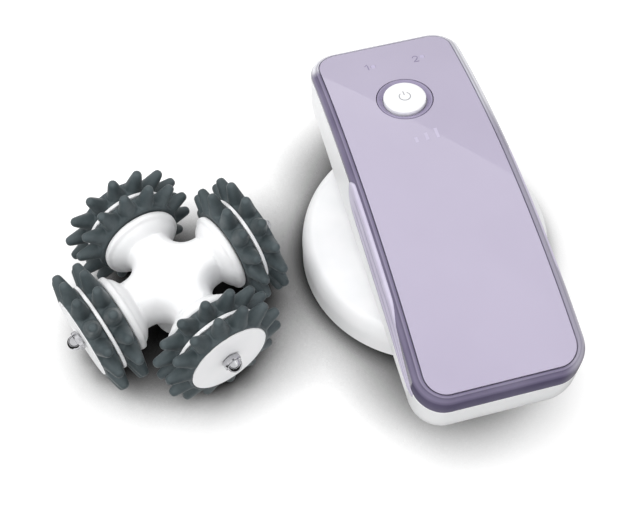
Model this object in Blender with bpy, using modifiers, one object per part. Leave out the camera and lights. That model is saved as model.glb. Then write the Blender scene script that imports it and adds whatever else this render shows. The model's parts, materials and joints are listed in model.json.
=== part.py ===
"""Powered body massager: a flat handheld unit standing on its round drive base, and the star-shaped
head with four spiked rollers lying beside it, taken off, with its skin side up.

Metres, +Z up. The origin is the centre of the drive base on the table. The handle runs along Y,
with the power button towards +Y.
"""

import math

import bmesh
import bpy
from mathutils import Matrix, Vector

# Fits and resolution that every piece shares
GAP = 0.0003
RUNNING_GAP = 0.00012
OVERRUN = 0.003
ROUND_STEPS = 40
MEDIUM_STEPS = 28
FLANGE_STEPS = 16
SMALL_STEPS = 12

# Handle, outside form
HANDLE_LENGTH = 0.1674
HANDLE_WIDTH = 0.0657
HANDLE_CENTRE_Y = -0.0062
HANDLE_CORNER_RADIUS = 0.0122
HANDLE_CROWN_HEIGHT = 0.0620
HANDLE_ARCH_RADIUS = 0.334
RIM_DROP = 0.0030
RIM_WIDTH_SIDE = 0.0039
RIM_WIDTH_END = 0.0021
RIM_BEVEL_SHARES = ((0.30, 0.36), (0.62, 0.10))
HULL_ROUND_WIDTH = 0.0090
HULL_ROUND_HEIGHT_SHARE = 0.34965
SIDE_SEGMENTS = 10
CORNER_SEGMENTS = 4
ROUND_RINGS = 3

# Handle, shells
CASING_WALL = 0.0028
CASING_FLOOR = 0.0024
COVER_SIDE_WALL = 0.0036
COVER_PLATE = 0.0022
SIDE_BAND_DROP = 0.0044
END_BAND_DROP = 0.0122
BAND_RAMP_SHARES = (0.55, 0.93)
PANEL_THICKNESS = 0.0010
PANEL_CORNER_RADIUS = 0.0083

# Side grips
GRIP_DEPTH = 0.0018
GRIP_TOP_DROP = 0.0012
GRIP_START_SHARE = -0.145
GRIP_TIP_SHARE = 0.885
GRIP_FALL_SHARES = (0.50, 0.77)
GRIP_LOWER_SHARES = (
    (-0.130, 0.62), (-0.06, 0.575), (0.20, 0.54), (0.55, 0.52), (0.78, 0.51), (0.85, 0.56), (0.885, 0.62),
)
GRIP_TOP_POINTS = 14

# Power button, its bezel and the two indicator lights
BUTTON_FROM_END = 0.0383
BUTTON_RADIUS = 0.0089
BUTTON_FLANGE = 0.0008
BUTTON_DOME = 0.0005
BUTTON_SINK = 0.0006
BUTTON_SKIRT = 0.0046
BUTTON_FLANGE_HEIGHT = 0.0010
BUTTON_STEM_RADIUS = 0.0018
BUTTON_TRAVEL = 0.0010
BEZEL_RADIUS = 0.0118
BEZEL_SINK = 0.0011
BEZEL_LIP = 0.0004
BEZEL_DEPTH = 0.0042
LIGHT_RADIUS = 0.0011
LIGHT_AHEAD = 0.0230
LIGHT_XS = (-0.0068, 0.0148)
LIGHT_BRIDGE_THICKNESS = 0.0012
LIGHT_BRIDGE_WIDTH = 0.0030

# Control board under the button, square to the button's travel
BOARD_WIDTH = 0.0330
BOARD_THICKNESS = 0.0016
BOARD_BEHIND = 0.0055
BOARD_POST_CLEARANCE = 0.0023
SWITCH_WIDTH = 0.0062
SWITCH_HEIGHT = 0.0036
PLUNGER_RADIUS = 0.0017
PLUNGER_STICKOUT = 0.0014
CHIP_SIZE = (0.0090, 0.0070, 0.0014)
CHIP_PLACE_SHARES = (-0.18, 0.55)
LED_SIZE = 0.0020
SOLDER_SINK = 0.0002
CAPACITOR_RADIUS = 0.0030
CAPACITOR_HEIGHT = 0.0070
CAPACITOR_PLACE_SHARES = (0.30, 0.40)
BOARD_POST_RADIUS = 0.0026
BOARD_POST_SHARE = 0.36
BOARD_PIN_RADIUS = 0.0011

# Batteries and the charging inlet
CELL_RADIUS = 0.00725
CELL_LENGTH = 0.0495
CELL_NUB_RADIUS = 0.0026
CELL_NUB_LENGTH = 0.0010
CELL_PITCH = 0.0150
CELL_COUNT = 3
CONTACT_THICKNESS = 0.0005
CONTACT_WIDTH_SHARE = 0.80
TRAY_FLOOR = 0.0012
TRAY_END = 0.0014
TRAY_HEIGHT = 0.0085
TRAY_END_HEIGHT = 0.0150
TRAY_FAR_Y = -0.0180
JACK_WIDTH = 0.0090
JACK_LENGTH = 0.0110
JACK_HEIGHT = 0.0082
JACK_NOSE_RADIUS = 0.0038
JACK_BORE_RADIUS = 0.0027
JACK_PIN_RADIUS = 0.0009
JACK_SETBACK = 0.0009
JACK_BELOW_BOARD = 0.0006
JACK_STEPS = 18

# Motor and its bracket
MOTOR_RADIUS = 0.0120
MOTOR_BELOW_BOARD = 0.0006
MOTOR_NOSE_RADIUS = 0.0040
MOTOR_NOSE_LENGTH = 0.0015
MOTOR_SHAFT_RADIUS = 0.0010
MOTOR_SHAFT_INSIDE = 0.0080
BRACKET_WALL = 0.0022
BRACKET_HEIGHT = 0.0100
BRACKET_EAR_REACH = 0.0075
BRACKET_EAR_WIDTH = 0.0074
BRACKET_EAR_THICKNESS = 0.0024

# Drive base
BASE_RADIUS = 0.0527
BASE_HEIGHT = 0.0188
BASE_WALL = 0.0022
BASE_SHOULDER_WIDTH = 0.0048
BASE_SHOULDER_DROP = 0.0090
BASE_LEDGE = 0.0012
BASE_PLATE_THICKNESS = 0.0022
BASE_RECESS_DEPTH = 0.0064

# Gears and spindle
GEAR_MODULE = 0.0008
GEAR_TEETH = 36
PINION_TEETH = 14
GEAR_WIDTH = 0.0036
GEAR_ADDENDUM_SHARE = 0.85
GEAR_DEDENDUM_SHARE = 1.20
GEAR_BACKLASH = 0.00024
GEAR_PRESSURE_ANGLE = 22.0
SPINDLE_RADIUS = 0.0040
SPINDLE_TOP_RADIUS = 0.0030
SPINDLE_DRIVE_WIDTH = 0.0080
SPINDLE_DRIVE_CLEARANCE = 0.0006
BUSH_WALL = 0.0018
BUSH_FLANGE = 0.0012
BUSH_FLANGE_THICKNESS = 0.0008
BOSS_WALL = 0.0020
UPPER_BOSS_DEPTH = 0.0026

# Screws, pins and the bosses that they go into
SCREW_RADIUS = 0.0014
SCREW_HEAD_RADIUS = 0.0027
SCREW_HEAD_HEIGHT = 0.0018
SCREW_CLEARANCE = 0.00015
SCREW_SLOT_RADIUS = 0.0012
SCREW_SLOT_DEPTH = 0.0010
SCREW_BOSS_RADIUS = 0.0034
BASE_SCREW_X = 0.0170
BASE_SCREW_FAR_Y = 0.0345
BASE_SCREW_NEAR_Y = -0.0140
BASE_SCREW_BITE = 0.0055
MOTOR_SCREW_LENGTH = 0.0050
COVER_POST_RADIUS = 0.0042
COVER_PIN_RADIUS = 0.0021
COVER_PIN_BITE = 0.0090
COVER_POST_X_SHARE = 0.64
COVER_POST_Y_SHARES = (0.865, -0.885)
COVER_POST_BREAK_SHARE = 0.60

# Massage head, taken off and lying skin side up
HEAD_X = -0.1091
HEAD_Y = -0.0026
HEAD_TURN = -68.3
ROLLER_COUNT = 4
HUB_HALF_HEIGHT = 0.0102
HUB_ARM_HALF_WIDTH = 0.0098
HUB_ARM_REACH = 0.0176
HUB_FILLET_RADIUS = 0.0068
HUB_FILLET_SEGMENTS = 5
HUB_EDGE_ROUND = 0.0030
FLANGE_RADIUS = 0.0166
FLANGE_FACE = 0.0253
FLANGE_RIM = 0.0030
FLANGE_NECK_RADIUS = 0.0096
FLANGE_BACK_SHARES = ((1.000, 0.20), (1.000, 0.85), (0.790, 1.80), (0.660, 2.15))

# Rollers, measured along the axle from the middle of the head
AXLE_RADIUS = 0.0020
AXLE_INNER_END = 0.0100
AXLE_OUTER_END = 0.0462
RING_WIDTH = 0.0075
RING_RADIUS = 0.0182
RING_CORE_RADIUS = 0.0145
SPACER_WIDTH = 0.0012
SPACER_RADIUS = 0.0181
CAP_THICKNESS = 0.0013
CAP_INSET = 0.0012
TEETH = 14
TOOTH_BASE_RADIUS = 0.0036
TOOTH_TIP_RADIUS = 0.0018
TOOTH_REACH = 0.0267
TOOTH_SIDES = 6
TOOTH_ROOT_SINK = 0.0006
NUT_FLAT_WIDTH = 0.0070
NUT_THICKNESS = 0.0024
NUT_DOME_RADIUS = 0.0031
NUT_DOME_RISE = 0.0002

# Coupling under the head, which takes the spindle's square end
SOCKET_RADIUS = 0.0110
SOCKET_CLEARANCE = 0.0004
SOCKET_DEPTH = 0.0100
SOCKET_STANDOFF = 0.0011
SOCKET_SPIGOT_RADIUS = 0.0060
SOCKET_SPIGOT_LENGTH = 0.0055
SOCKET_SHOULDER_RADIUS = 0.0076

# Colours, as red, green, blue
LAVENDER = (0.55, 0.50, 0.66)
SMOKY_LILAC = (0.25, 0.21, 0.34)
WHITE = (0.86, 0.86, 0.86)
SLATE = (0.055, 0.07, 0.08)
STEEL = (0.60, 0.60, 0.62)
BRASS = (0.65, 0.48, 0.20)
BOARD_GREEN = (0.03, 0.18, 0.08)
BLACK = (0.02, 0.02, 0.02)
CLEAR = (0.75, 0.70, 0.80)

# Sizes worked out from the driving dimensions
HALF_WIDTH = HANDLE_WIDTH / 2
HALF_LENGTH = HANDLE_LENGTH / 2
CASING_BASE = BASE_HEIGHT + GAP
CASING_INSIDE = CASING_BASE + CASING_FLOOR
HULL_ROUND_HEIGHT = (HANDLE_CROWN_HEIGHT - CASING_BASE) * HULL_ROUND_HEIGHT_SHARE
BUTTON_Y = HANDLE_CENTRE_Y + HALF_LENGTH - BUTTON_FROM_END
BOARD_AHEAD = LIGHT_AHEAD + LIGHT_BRIDGE_WIDTH / 2 + BOARD_POST_CLEARANCE + BOARD_POST_RADIUS * 2
SPINDLE_DRIVE_SIDE = SPINDLE_DRIVE_WIDTH / math.sqrt(2)
AXLE_HEIGHT = TOOTH_REACH
MOTOR_Y = GEAR_MODULE * (GEAR_TEETH + PINION_TEETH) / 2
BASE_CEILING = BASE_HEIGHT - BASE_WALL
PLATE_BOTTOM = BASE_RECESS_DEPTH
PLATE_TOP = PLATE_BOTTOM + BASE_PLATE_THICKNESS
GEAR_BOTTOM = PLATE_TOP + BUSH_FLANGE_THICKNESS + GAP
GEAR_TOP = GEAR_BOTTOM + GEAR_WIDTH
INNER_RING_START = FLANGE_FACE + GAP
SPACER_START = INNER_RING_START + RING_WIDTH + GAP / 2
OUTER_RING_START = SPACER_START + SPACER_WIDTH + GAP / 2
CORE_END = OUTER_RING_START + RING_WIDTH - CAP_THICKNESS
CAP_START = CORE_END + GAP / 2
CAP_FACE = CAP_START + CAP_THICKNESS
NUT_START = CAP_FACE + GAP
CAP_RADIUS = RING_RADIUS - CAP_INSET


def clear_scene():
    for obj in list(bpy.data.objects):
        bpy.data.objects.remove(obj, do_unlink=True)


def new_collection(name):
    group = bpy.data.collections.new(name)
    bpy.context.scene.collection.children.link(group)
    return group


def make_material(name, rgb, roughness, metallic=0.0, alpha=1.0):
    material = bpy.data.materials.new(name)
    material.use_nodes = True
    shader = material.node_tree.nodes["Principled BSDF"]
    shader.inputs["Base Color"].default_value = (*rgb, 1.0)
    shader.inputs["Roughness"].default_value = roughness
    shader.inputs["Metallic"].default_value = metallic
    shader.inputs["Alpha"].default_value = alpha
    return material


clear_scene()
PARTS = new_collection("body_massager")
CUTTERS = new_collection("cutters")

MATERIALS = {
    "lavender": make_material("lavender_gloss", LAVENDER, 0.18),
    "smoky": make_material("smoky_lilac", SMOKY_LILAC, 0.12),
    "white": make_material("white_gloss", WHITE, 0.25),
    "grip": make_material("lavender_grip", LAVENDER, 0.45),
    "rubber": make_material("slate_rubber", SLATE, 0.55),
    "steel": make_material("steel", STEEL, 0.25, 1.0),
    "brass": make_material("brass", BRASS, 0.35, 1.0),
    "board": make_material("circuit_board", BOARD_GREEN, 0.4),
    "black": make_material("black_plastic", BLACK, 0.4),
    "lens": make_material("light_lens", CLEAR, 0.1),
    "gear": make_material("gear_plastic", WHITE, 0.5),
    "cell": make_material("battery_jacket", SMOKY_LILAC, 0.35, 0.3),
}


# Building blocks


def add_frame(name, place=Matrix.Identity(4), parent=None):
    """An empty that carries pieces which share an axis."""
    frame = bpy.data.objects.new(name, None)
    frame.rotation_euler = place.to_euler()
    frame.location = place.to_translation()
    frame.parent = parent
    PARTS.objects.link(frame)
    return frame


def add_part(name, mesh, material, parent=None, location=(0, 0, 0)):
    obj = bpy.data.objects.new(name, mesh)
    obj.parent = parent
    obj.location = location
    if not mesh.materials:
        mesh.materials.append(MATERIALS[material])
    PARTS.objects.link(obj)
    return obj


def as_cutter(obj):
    """Keeps an object as a hidden helper for a Boolean."""
    for group in list(obj.users_collection):
        group.objects.unlink(obj)
    CUTTERS.objects.link(obj)
    obj.hide_render = True
    obj.display_type = "WIRE"
    return obj


def mesh_from(name, bm):
    bmesh.ops.recalc_face_normals(bm, faces=bm.faces[:])
    mesh = bpy.data.meshes.new(name)
    bm.to_mesh(mesh)
    bm.free()
    mesh.shade_smooth()
    mesh.set_sharp_from_angle(angle=math.radians(35))
    return mesh


def boolean(target, tool, operation):
    step = target.modifiers.new(operation.lower(), "BOOLEAN")
    step.operation = operation
    step.object = as_cutter(tool)
    step.solver = "EXACT"
    return target


def cut(target, *tools):
    for tool in tools:
        boolean(target, tool, "DIFFERENCE")
    return target


def join(target, *tools):
    for tool in tools:
        boolean(target, tool, "UNION")
    return target


def settled_mesh(obj):
    """The mesh that an object's modifiers give, so that copies can share it."""
    bpy.context.view_layer.update()
    graph = bpy.context.evaluated_depsgraph_get()
    mesh = bpy.data.meshes.new_from_object(obj.evaluated_get(graph))
    mesh.name = obj.name
    return mesh


def turned(name, profile, material, steps=MEDIUM_STEPS, parent=None, location=(0, 0, 0), tube=False):
    """A turned solid about its own Z. The profile of (radius, height) runs down its outer side."""
    bm = bmesh.new()
    points = [bm.verts.new((radius, 0, height)) for radius, height in profile]
    for first, second in zip(points, points[1:]):
        bm.edges.new((first, second))
    if tube:
        bm.edges.new((points[-1], points[0]))
    mesh = bpy.data.meshes.new(name)
    bm.to_mesh(mesh)
    bm.free()
    obj = add_part(name, mesh, material, parent, location)
    spin = obj.modifiers.new("turn", "SCREW")
    spin.steps = steps
    spin.render_steps = steps
    spin.use_merge_vertices = True
    spin.merge_threshold = 1e-6
    spin.use_smooth_shade = True
    return obj


def rod(name, radius, bottom, top, material="steel", steps=SMALL_STEPS, parent=None, location=(0, 0, 0)):
    profile = [(0, top), (radius, top), (radius, bottom), (0, bottom)]
    return turned(name, profile, material, steps, parent, location)


def socketed_rod(name, radius, bottom, top, hole_radius, hole_bottom, location):
    """A rod with a blind hole in its top."""
    profile = [(0, hole_bottom), (hole_radius, hole_bottom), (hole_radius, top), (radius, top)]
    return turned(name, profile + [(radius, bottom), (0, bottom)], "white", SMALL_STEPS, location=location)


def pinned_rod(name, radius, bottom, top, pin_radius, pin_bottom, location, parent=None):
    """A rod with a thinner pin below it."""
    profile = [(0, top), (radius, top), (radius, bottom), (pin_radius, bottom)]
    profile += [(pin_radius, pin_bottom), (0, pin_bottom)]
    return turned(name, profile, "smoky", SMALL_STEPS, parent, location)


def gathered(name, tools):
    """Helpers that stand clear of each other, as one, so that a shell takes them all in one Boolean."""
    bm = bmesh.new()
    for tool in tools:
        before = len(bm.verts)
        bm.from_mesh(settled_mesh(tool))
        bm.verts.ensure_lookup_table()
        bmesh.ops.transform(bm, matrix=tool.matrix_world, verts=bm.verts[before:])
        bpy.data.objects.remove(tool, do_unlink=True)
    bmesh.ops.triangulate(bm, faces=bm.faces[:])
    return add_part(name, mesh_from(name, bm), "white")


def block(name, size, centre, material="white", parent=None):
    """A box of the given size about its centre."""
    bm = bmesh.new()
    bmesh.ops.create_cube(bm, size=1)
    bmesh.ops.scale(bm, vec=size, verts=bm.verts)
    bmesh.ops.translate(bm, vec=centre, verts=bm.verts)
    return add_part(name, mesh_from(name, bm), material, parent)


def prism(name, outline, low, high, material="white", parent=None, turn=None):
    """A flat outline of (x, y) points, raised from low to high along Z and then turned into place."""
    bm = bmesh.new()
    face = bm.faces.new([bm.verts.new((x, y, low)) for x, y in outline])
    raised = bmesh.ops.extrude_face_region(bm, geom=[face])
    tops = [item for item in raised["geom"] if isinstance(item, bmesh.types.BMVert)]
    bmesh.ops.translate(bm, vec=(0, 0, high - low), verts=tops)
    if turn:
        bmesh.ops.transform(bm, matrix=turn, verts=bm.verts)
    return add_part(name, mesh_from(name, bm), material, parent)


def smooth_step(start, end, value):
    share = min(1.0, max(0.0, (value - start) / (end - start)))
    return share * share * (3 - 2 * share)


# Handle form: rings of a rounded rectangle, stacked


def arch(y):
    """Height of the handle's arched top at a place along its length."""
    along = y - HANDLE_CENTRE_Y
    return HANDLE_CROWN_HEIGHT - HANDLE_ARCH_RADIUS + math.sqrt(HANDLE_ARCH_RADIUS**2 - along**2)


def near_share(y):
    """How far a place lies towards the near end, as a share of the half length."""
    return (HANDLE_CENTRE_Y - y) / HALF_LENGTH


def parting_drop(y):
    """Depth below the arch at which the cover meets the casing: it deepens at the near end."""
    return SIDE_BAND_DROP + (END_BAND_DROP - SIDE_BAND_DROP) * smooth_step(*BAND_RAMP_SHARES, near_share(y))


def plan_points(inset_x, inset_y, radius):
    """A rounded rectangle as (x, y), clockwise from the middle of the far end, alike on both sides."""
    half_x = HALF_WIDTH - inset_x
    half_y = HALF_LENGTH - inset_y
    corner_x = half_x - radius
    corner_y = half_y - radius
    right = [(0, half_y)]
    for step in range(CORNER_SEGMENTS + 1):
        angle = math.pi / 2 * (1 - step / CORNER_SEGMENTS)
        right.append((corner_x + radius * math.cos(angle), corner_y + radius * math.sin(angle)))
    for step in range(1, SIDE_SEGMENTS):
        right.append((half_x, corner_y * (1 - 2 * step / SIDE_SEGMENTS)))
    for step in range(CORNER_SEGMENTS + 1):
        angle = -math.pi / 2 * step / CORNER_SEGMENTS
        right.append((corner_x + radius * math.cos(angle), radius * math.sin(angle) - corner_y))
    right.append((0, -half_y))
    left = [(-x, y) for x, y in reversed(right[1:-1])]
    return [(x, y + HANDLE_CENTRE_Y) for x, y in right + left]


def ring(height, inset_x=0.0, inset_y=None, radius=None):
    """One ring of 3-D points: height is a function of y, or a plain height."""
    inset_y = inset_x if inset_y is None else inset_y
    if radius is None:
        radius = max(HANDLE_CORNER_RADIUS - min(inset_x, inset_y), HANDLE_CORNER_RADIUS / 4)
    level = height if callable(height) else (lambda y: height)
    return [(x, y, level(y)) for x, y in plan_points(inset_x, inset_y, radius)]


def close_with_rungs(bm, points):
    """Closes a ring by strips that run straight across it, so an arched end stays arched."""
    count = len(points)
    middle = count // 2
    bm.faces.new((points[0], points[1], points[2], points[-2], points[-1]))
    for step in range(2, middle - 2):
        bm.faces.new((points[step], points[step + 1], points[count - step - 1], points[count - step]))
    bm.faces.new(points[middle - 2:middle + 3])


def stacked(name, rings, material):
    """A closed solid through rings of like points, closed across its first and last ring."""
    bm = bmesh.new()
    levels = [[bm.verts.new(point) for point in points] for points in rings]
    for lower, upper in zip(levels, levels[1:]):
        for step in range(len(lower)):
            after = (step + 1) % len(lower)
            bm.faces.new((lower[step], lower[after], upper[after], upper[step]))
    close_with_rungs(bm, levels[0])
    close_with_rungs(bm, levels[-1])
    bmesh.ops.triangulate(bm, faces=bm.faces[:])
    return add_part(name, mesh_from(name, bm), material)


def below_arch(drop):
    return lambda y: arch(y) - drop


def hull_rings(wall, floor):
    """Rings up the rounded underside, from the flat bottom to the upright wall, inside a given wall."""
    rings = []
    for step in range(ROUND_RINGS + 1):
        angle = math.pi / 2 * step / ROUND_RINGS
        inset = wall + (HULL_ROUND_WIDTH - wall) * (1 - math.sin(angle))
        height = CASING_BASE + floor + (HULL_ROUND_HEIGHT - floor) * (1 - math.cos(angle))
        rings.append(ring(height, inset))
    return rings


def rim_rings():
    """Rings over the bevelled rim, from its outer edge to its crest."""
    rings = [ring(below_arch(RIM_DROP))]
    for width_share, drop_share in RIM_BEVEL_SHARES:
        level = below_arch(RIM_DROP * drop_share)
        rings.append(ring(level, RIM_WIDTH_SIDE * width_share, RIM_WIDTH_END * width_share))
    return rings


def panel_ring(drop, grow=0.0):
    radius = PANEL_CORNER_RADIUS + grow
    return ring(below_arch(drop), RIM_WIDTH_SIDE - grow, RIM_WIDTH_END - grow, radius)


def handle_form(name):
    """The whole outside form of the handle, which the side grips are cut from."""
    return as_cutter(stacked(name, hull_rings(0, 0) + rim_rings() + [panel_ring(0)], "grip"))


# Side grips


def grip_top_drop(y, grow):
    """Depth of the grip's upper edge: over the rim first, then under the cover's deeper end band."""
    fall = smooth_step(*GRIP_FALL_SHARES, near_share(y))
    over = GRIP_TOP_DROP - grow
    under = parting_drop(y) + GAP - grow
    return over + (under - over) * fall


def grip_outline(grow):
    """The grip seen from the side, as (y, z), larger all round by grow."""
    span = GRIP_TIP_SHARE - GRIP_START_SHARE
    upper = []
    for step in range(GRIP_TOP_POINTS + 1):
        share = GRIP_START_SHARE + span * step / GRIP_TOP_POINTS
        y = HANDLE_CENTRE_Y - HALF_LENGTH * share
        upper.append((y, arch(y) - grip_top_drop(y, grow)))
    upper[0] = (upper[0][0] + grow, upper[0][1])
    upper[-1] = (upper[-1][0] - grow, upper[-1][1])
    lower = []
    for share, rise_share in GRIP_LOWER_SHARES:
        y = HANDLE_CENTRE_Y - HALF_LENGTH * share
        lower.append((y, CASING_BASE + (arch(y) - CASING_BASE) * rise_share - grow))
    lower[0] = (lower[0][0] + grow, lower[0][1])
    lower[-1] = (lower[-1][0] - grow, lower[-1][1])
    return upper + lower[::-1]


def grip_prism(name, side, depth, grow, outer):
    """The grip's outline as a slab on one side, from depth inside the wall to a face beyond it."""
    turn = Matrix(((0, 0, side, 0), (1, 0, 0, 0), (0, 1, 0, 0), (0, 0, 0, 1)))
    return prism(name, grip_outline(grow), HALF_WIDTH - depth, outer, "grip", turn=turn)


def make_grips():
    for name, side in (("grip_left", -1), ("grip_right", 1)):
        grip = grip_prism(name, side, GRIP_DEPTH, 0.0, HALF_WIDTH + OVERRUN)
        boolean(grip, handle_form(name + "_form"), "INTERSECT")


def grip_pockets(owner):
    return [
        grip_prism(f"{owner}_grip_pocket_{side}", side, GRIP_DEPTH + GAP, GAP, HALF_WIDTH + OVERRUN)
        for side in (-1, 1)
    ]


# Screws and pins


def base_screw_places():
    return [(side * BASE_SCREW_X, y) for y in (BASE_SCREW_FAR_Y, BASE_SCREW_NEAR_Y) for side in (-1, 1)]


def cover_post_places():
    x = HALF_WIDTH * COVER_POST_X_SHARE
    ys = [HANDLE_CENTRE_Y + HALF_LENGTH * share for share in COVER_POST_Y_SHARES]
    return [(side * x, y) for y in ys for side in (-1, 1)]


def post_break():
    """Height at which the casing's post meets the cover's post."""
    return CASING_BASE + (HANDLE_CROWN_HEIGHT - CASING_BASE) * COVER_POST_BREAK_SHARE


def base_boss_top():
    return CASING_INSIDE + BASE_SCREW_BITE - CASING_FLOOR / 2


def add_screws(name, places, under_head, length, upward):
    """Like screws, one node each, with a round driver recess in the head."""
    point = under_head + length if upward else under_head - length
    head = under_head - SCREW_HEAD_HEIGHT if upward else under_head + SCREW_HEAD_HEIGHT
    recess = head + SCREW_SLOT_DEPTH if upward else head - SCREW_SLOT_DEPTH
    outline = [(0, recess), (SCREW_SLOT_RADIUS, recess), (SCREW_SLOT_RADIUS, head), (SCREW_HEAD_RADIUS, head)]
    outline += [(SCREW_HEAD_RADIUS, under_head), (SCREW_RADIUS, under_head), (SCREW_RADIUS, point), (0, point)]
    if upward:
        outline.reverse()
    mesh = settled_mesh(as_cutter(turned(name + "_one", outline, "steel", SMALL_STEPS)))
    for step, (x, y) in enumerate(places):
        add_part(f"{name}_{step + 1}", mesh, "steel", location=(x, y, 0))


def screw_hole(name, x, y, low, high):
    return rod(name, SCREW_RADIUS + SCREW_CLEARANCE, low, high, location=(x, y, 0))


# Handle shells


def make_casing():
    """The white lower shell: a boat-shaped tray with sockets for the cover's pins and bosses for the base screws."""
    top = lambda y: arch(y) - parting_drop(y) - GAP / 2
    rings = hull_rings(0, 0) + [ring(top), ring(top, CASING_WALL)]
    rings += hull_rings(CASING_WALL, CASING_FLOOR)[::-1]
    casing = stacked("lower_casing", rings, "white")
    start = CASING_BASE + CASING_FLOOR / 2
    low = CASING_BASE - OVERRUN
    socket = COVER_PIN_RADIUS + RUNNING_GAP
    foot = post_break() - COVER_PIN_BITE - GAP
    top = post_break() - GAP / 2
    solids = [
        socketed_rod("casing_post", COVER_POST_RADIUS, start, top, socket, foot, (x, y, 0))
        for x, y in cover_post_places()
    ]
    holes = []
    for x, y in base_screw_places():
        solids.append(rod("floor_boss", SCREW_BOSS_RADIUS, start, base_boss_top(), location=(x, y, 0)))
        holes.append(screw_hole("floor_pilot", x, y, low, base_boss_top() - SCREW_RADIUS / 2))
    for x, y in bracket_screw_places():
        holes.append(screw_hole("bracket_pilot", x, y, low, CASING_INSIDE + OVERRUN))
    nose = MOTOR_NOSE_RADIUS + GAP
    holes.append(rod("motor_nose_hole", nose, low, CASING_INSIDE + OVERRUN, location=(0, MOTOR_Y, 0)))
    inlet = rod("jack_hole", JACK_NOSE_RADIUS + GAP, -OVERRUN, CASING_WALL + OVERRUN, steps=JACK_STEPS)
    inlet.rotation_euler = (-math.pi / 2, 0, 0)
    inlet.location = (0, HANDLE_CENTRE_Y + HALF_LENGTH - CASING_WALL, jack_height())
    holes.append(inlet)
    join(casing, gathered("casing_bosses", solids))
    cut(casing, gathered("casing_holes", holes + grip_pockets("casing")))
    return casing


def make_cover(button_frame):
    """The tinted upper shell with its bevelled rim, a seat for the panel, and pins that press into the casing."""
    seat = PANEL_THICKNESS + GAP
    skirt = lambda y: arch(y) - parting_drop(y) + GAP / 2
    rings = [panel_ring(seat, GAP), panel_ring(0, GAP)] + rim_rings()[::-1]
    rings += [ring(skirt), ring(skirt, COVER_SIDE_WALL), ring(below_arch(seat + COVER_PLATE), COVER_SIDE_WALL)]
    cover = stacked("top_cover", rings, "smoky")
    solids = []
    for x, y in cover_post_places():
        top = arch(y) - seat - COVER_PLATE / 2
        foot = post_break() + GAP / 2
        tip = post_break() - COVER_PIN_BITE
        solids.append(pinned_rod("cover_post", COVER_POST_RADIUS, foot, top, COVER_PIN_RADIUS, tip, (x, y, 0)))
    for x, y in board_post_places():
        top = -arch_fall(y) - seat - COVER_PLATE / 2
        foot = board_top() + GAP
        tip = board_top() - BOARD_THICKNESS
        place = (x, y, 0)
        solids.append(
            pinned_rod("board_post", BOARD_POST_RADIUS, foot, top, BOARD_PIN_RADIUS, tip, place, button_frame)
        )
    holes = [button_opening("cover_button_hole", button_frame), *light_holes("cover", button_frame)]
    join(cover, gathered("cover_posts", solids))
    cut(cover, gathered("cover_holes", holes + grip_pockets("cover")))
    return cover


def make_panel(button_frame):
    """The lavender control panel, let into the cover inside its rim."""
    rings = [panel_ring(PANEL_THICKNESS), panel_ring(0)]
    panel = stacked("control_panel", rings, "lavender")
    holes = [button_opening("panel_button_hole", button_frame), *light_holes("panel", button_frame)]
    cut(panel, gathered("panel_holes", holes))
    return panel


# Button, bezel, lights and board. Their frame stands on the panel, square to it at the button.


def button_place():
    slope = math.asin((BUTTON_Y - HANDLE_CENTRE_Y) / HANDLE_ARCH_RADIUS)
    return Matrix.Translation((0, BUTTON_Y, arch(BUTTON_Y))) @ Matrix.Rotation(-slope, 4, "X")


def button_opening(name, button_frame):
    return rod(name, BEZEL_RADIUS + GAP, -BEZEL_DEPTH - OVERRUN, OVERRUN, steps=ROUND_STEPS, parent=button_frame)


def arch_fall(y):
    """How far the panel's arch lies below the button's own plane, at a place along it."""
    return HANDLE_ARCH_RADIUS - math.sqrt(HANDLE_ARCH_RADIUS**2 - y**2)


def light_bridge_top():
    """The light pipe's bridge hangs just under the cover's plate."""
    return -arch_fall(LIGHT_AHEAD) - PANEL_THICKNESS - GAP - COVER_PLATE - GAP * 2


def light_holes(owner, button_frame):
    return [
        rod(f"{owner}_light_hole_{step}", LIGHT_RADIUS + RUNNING_GAP, light_bridge_top() - OVERRUN, OVERRUN,
            parent=button_frame, location=(x, LIGHT_AHEAD, 0))
        for step, x in enumerate(LIGHT_XS)
    ]


def make_light_pipe(button_frame):
    """One clear moulding: two short pipes that end level with the panel, joined by a bridge under the cover."""
    high = light_bridge_top()
    middle = high - LIGHT_BRIDGE_THICKNESS / 2
    length = LIGHT_XS[1] - LIGHT_XS[0] + LIGHT_BRIDGE_WIDTH
    size = (length, LIGHT_BRIDGE_WIDTH, LIGHT_BRIDGE_THICKNESS)
    centre = ((LIGHT_XS[0] + LIGHT_XS[1]) / 2, LIGHT_AHEAD, middle)
    pipe = block("light_pipe", size, centre, "lens", button_frame)
    for step, x in enumerate(LIGHT_XS):
        top = -arch_fall(LIGHT_AHEAD)
        join(pipe, rod(f"light_end_{step}", LIGHT_RADIUS, middle, top, "lens", parent=button_frame,
                       location=(x, LIGHT_AHEAD, 0)))


def cap_bottom():
    return -BUTTON_SINK - BUTTON_SKIRT


def make_bezel(button_frame):
    """The dished ring round the button. Its lower bore is wider, which traps the button's flange."""
    bore = BUTTON_RADIUS + GAP
    lower_bore = bore + BUTTON_FLANGE + GAP
    step = cap_bottom() + BUTTON_FLANGE_HEIGHT + GAP
    outline = [(BEZEL_RADIUS - BEZEL_LIP, 0), (BEZEL_RADIUS, -BEZEL_LIP), (BEZEL_RADIUS, -BEZEL_DEPTH)]
    outline += [(lower_bore, -BEZEL_DEPTH), (lower_bore, step), (bore, step), (bore, -BEZEL_SINK)]
    outline += [(BEZEL_RADIUS - BEZEL_LIP * 2, 0)]
    turned("button_bezel", outline, "smoky", parent=button_frame, tube=True)


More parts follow.
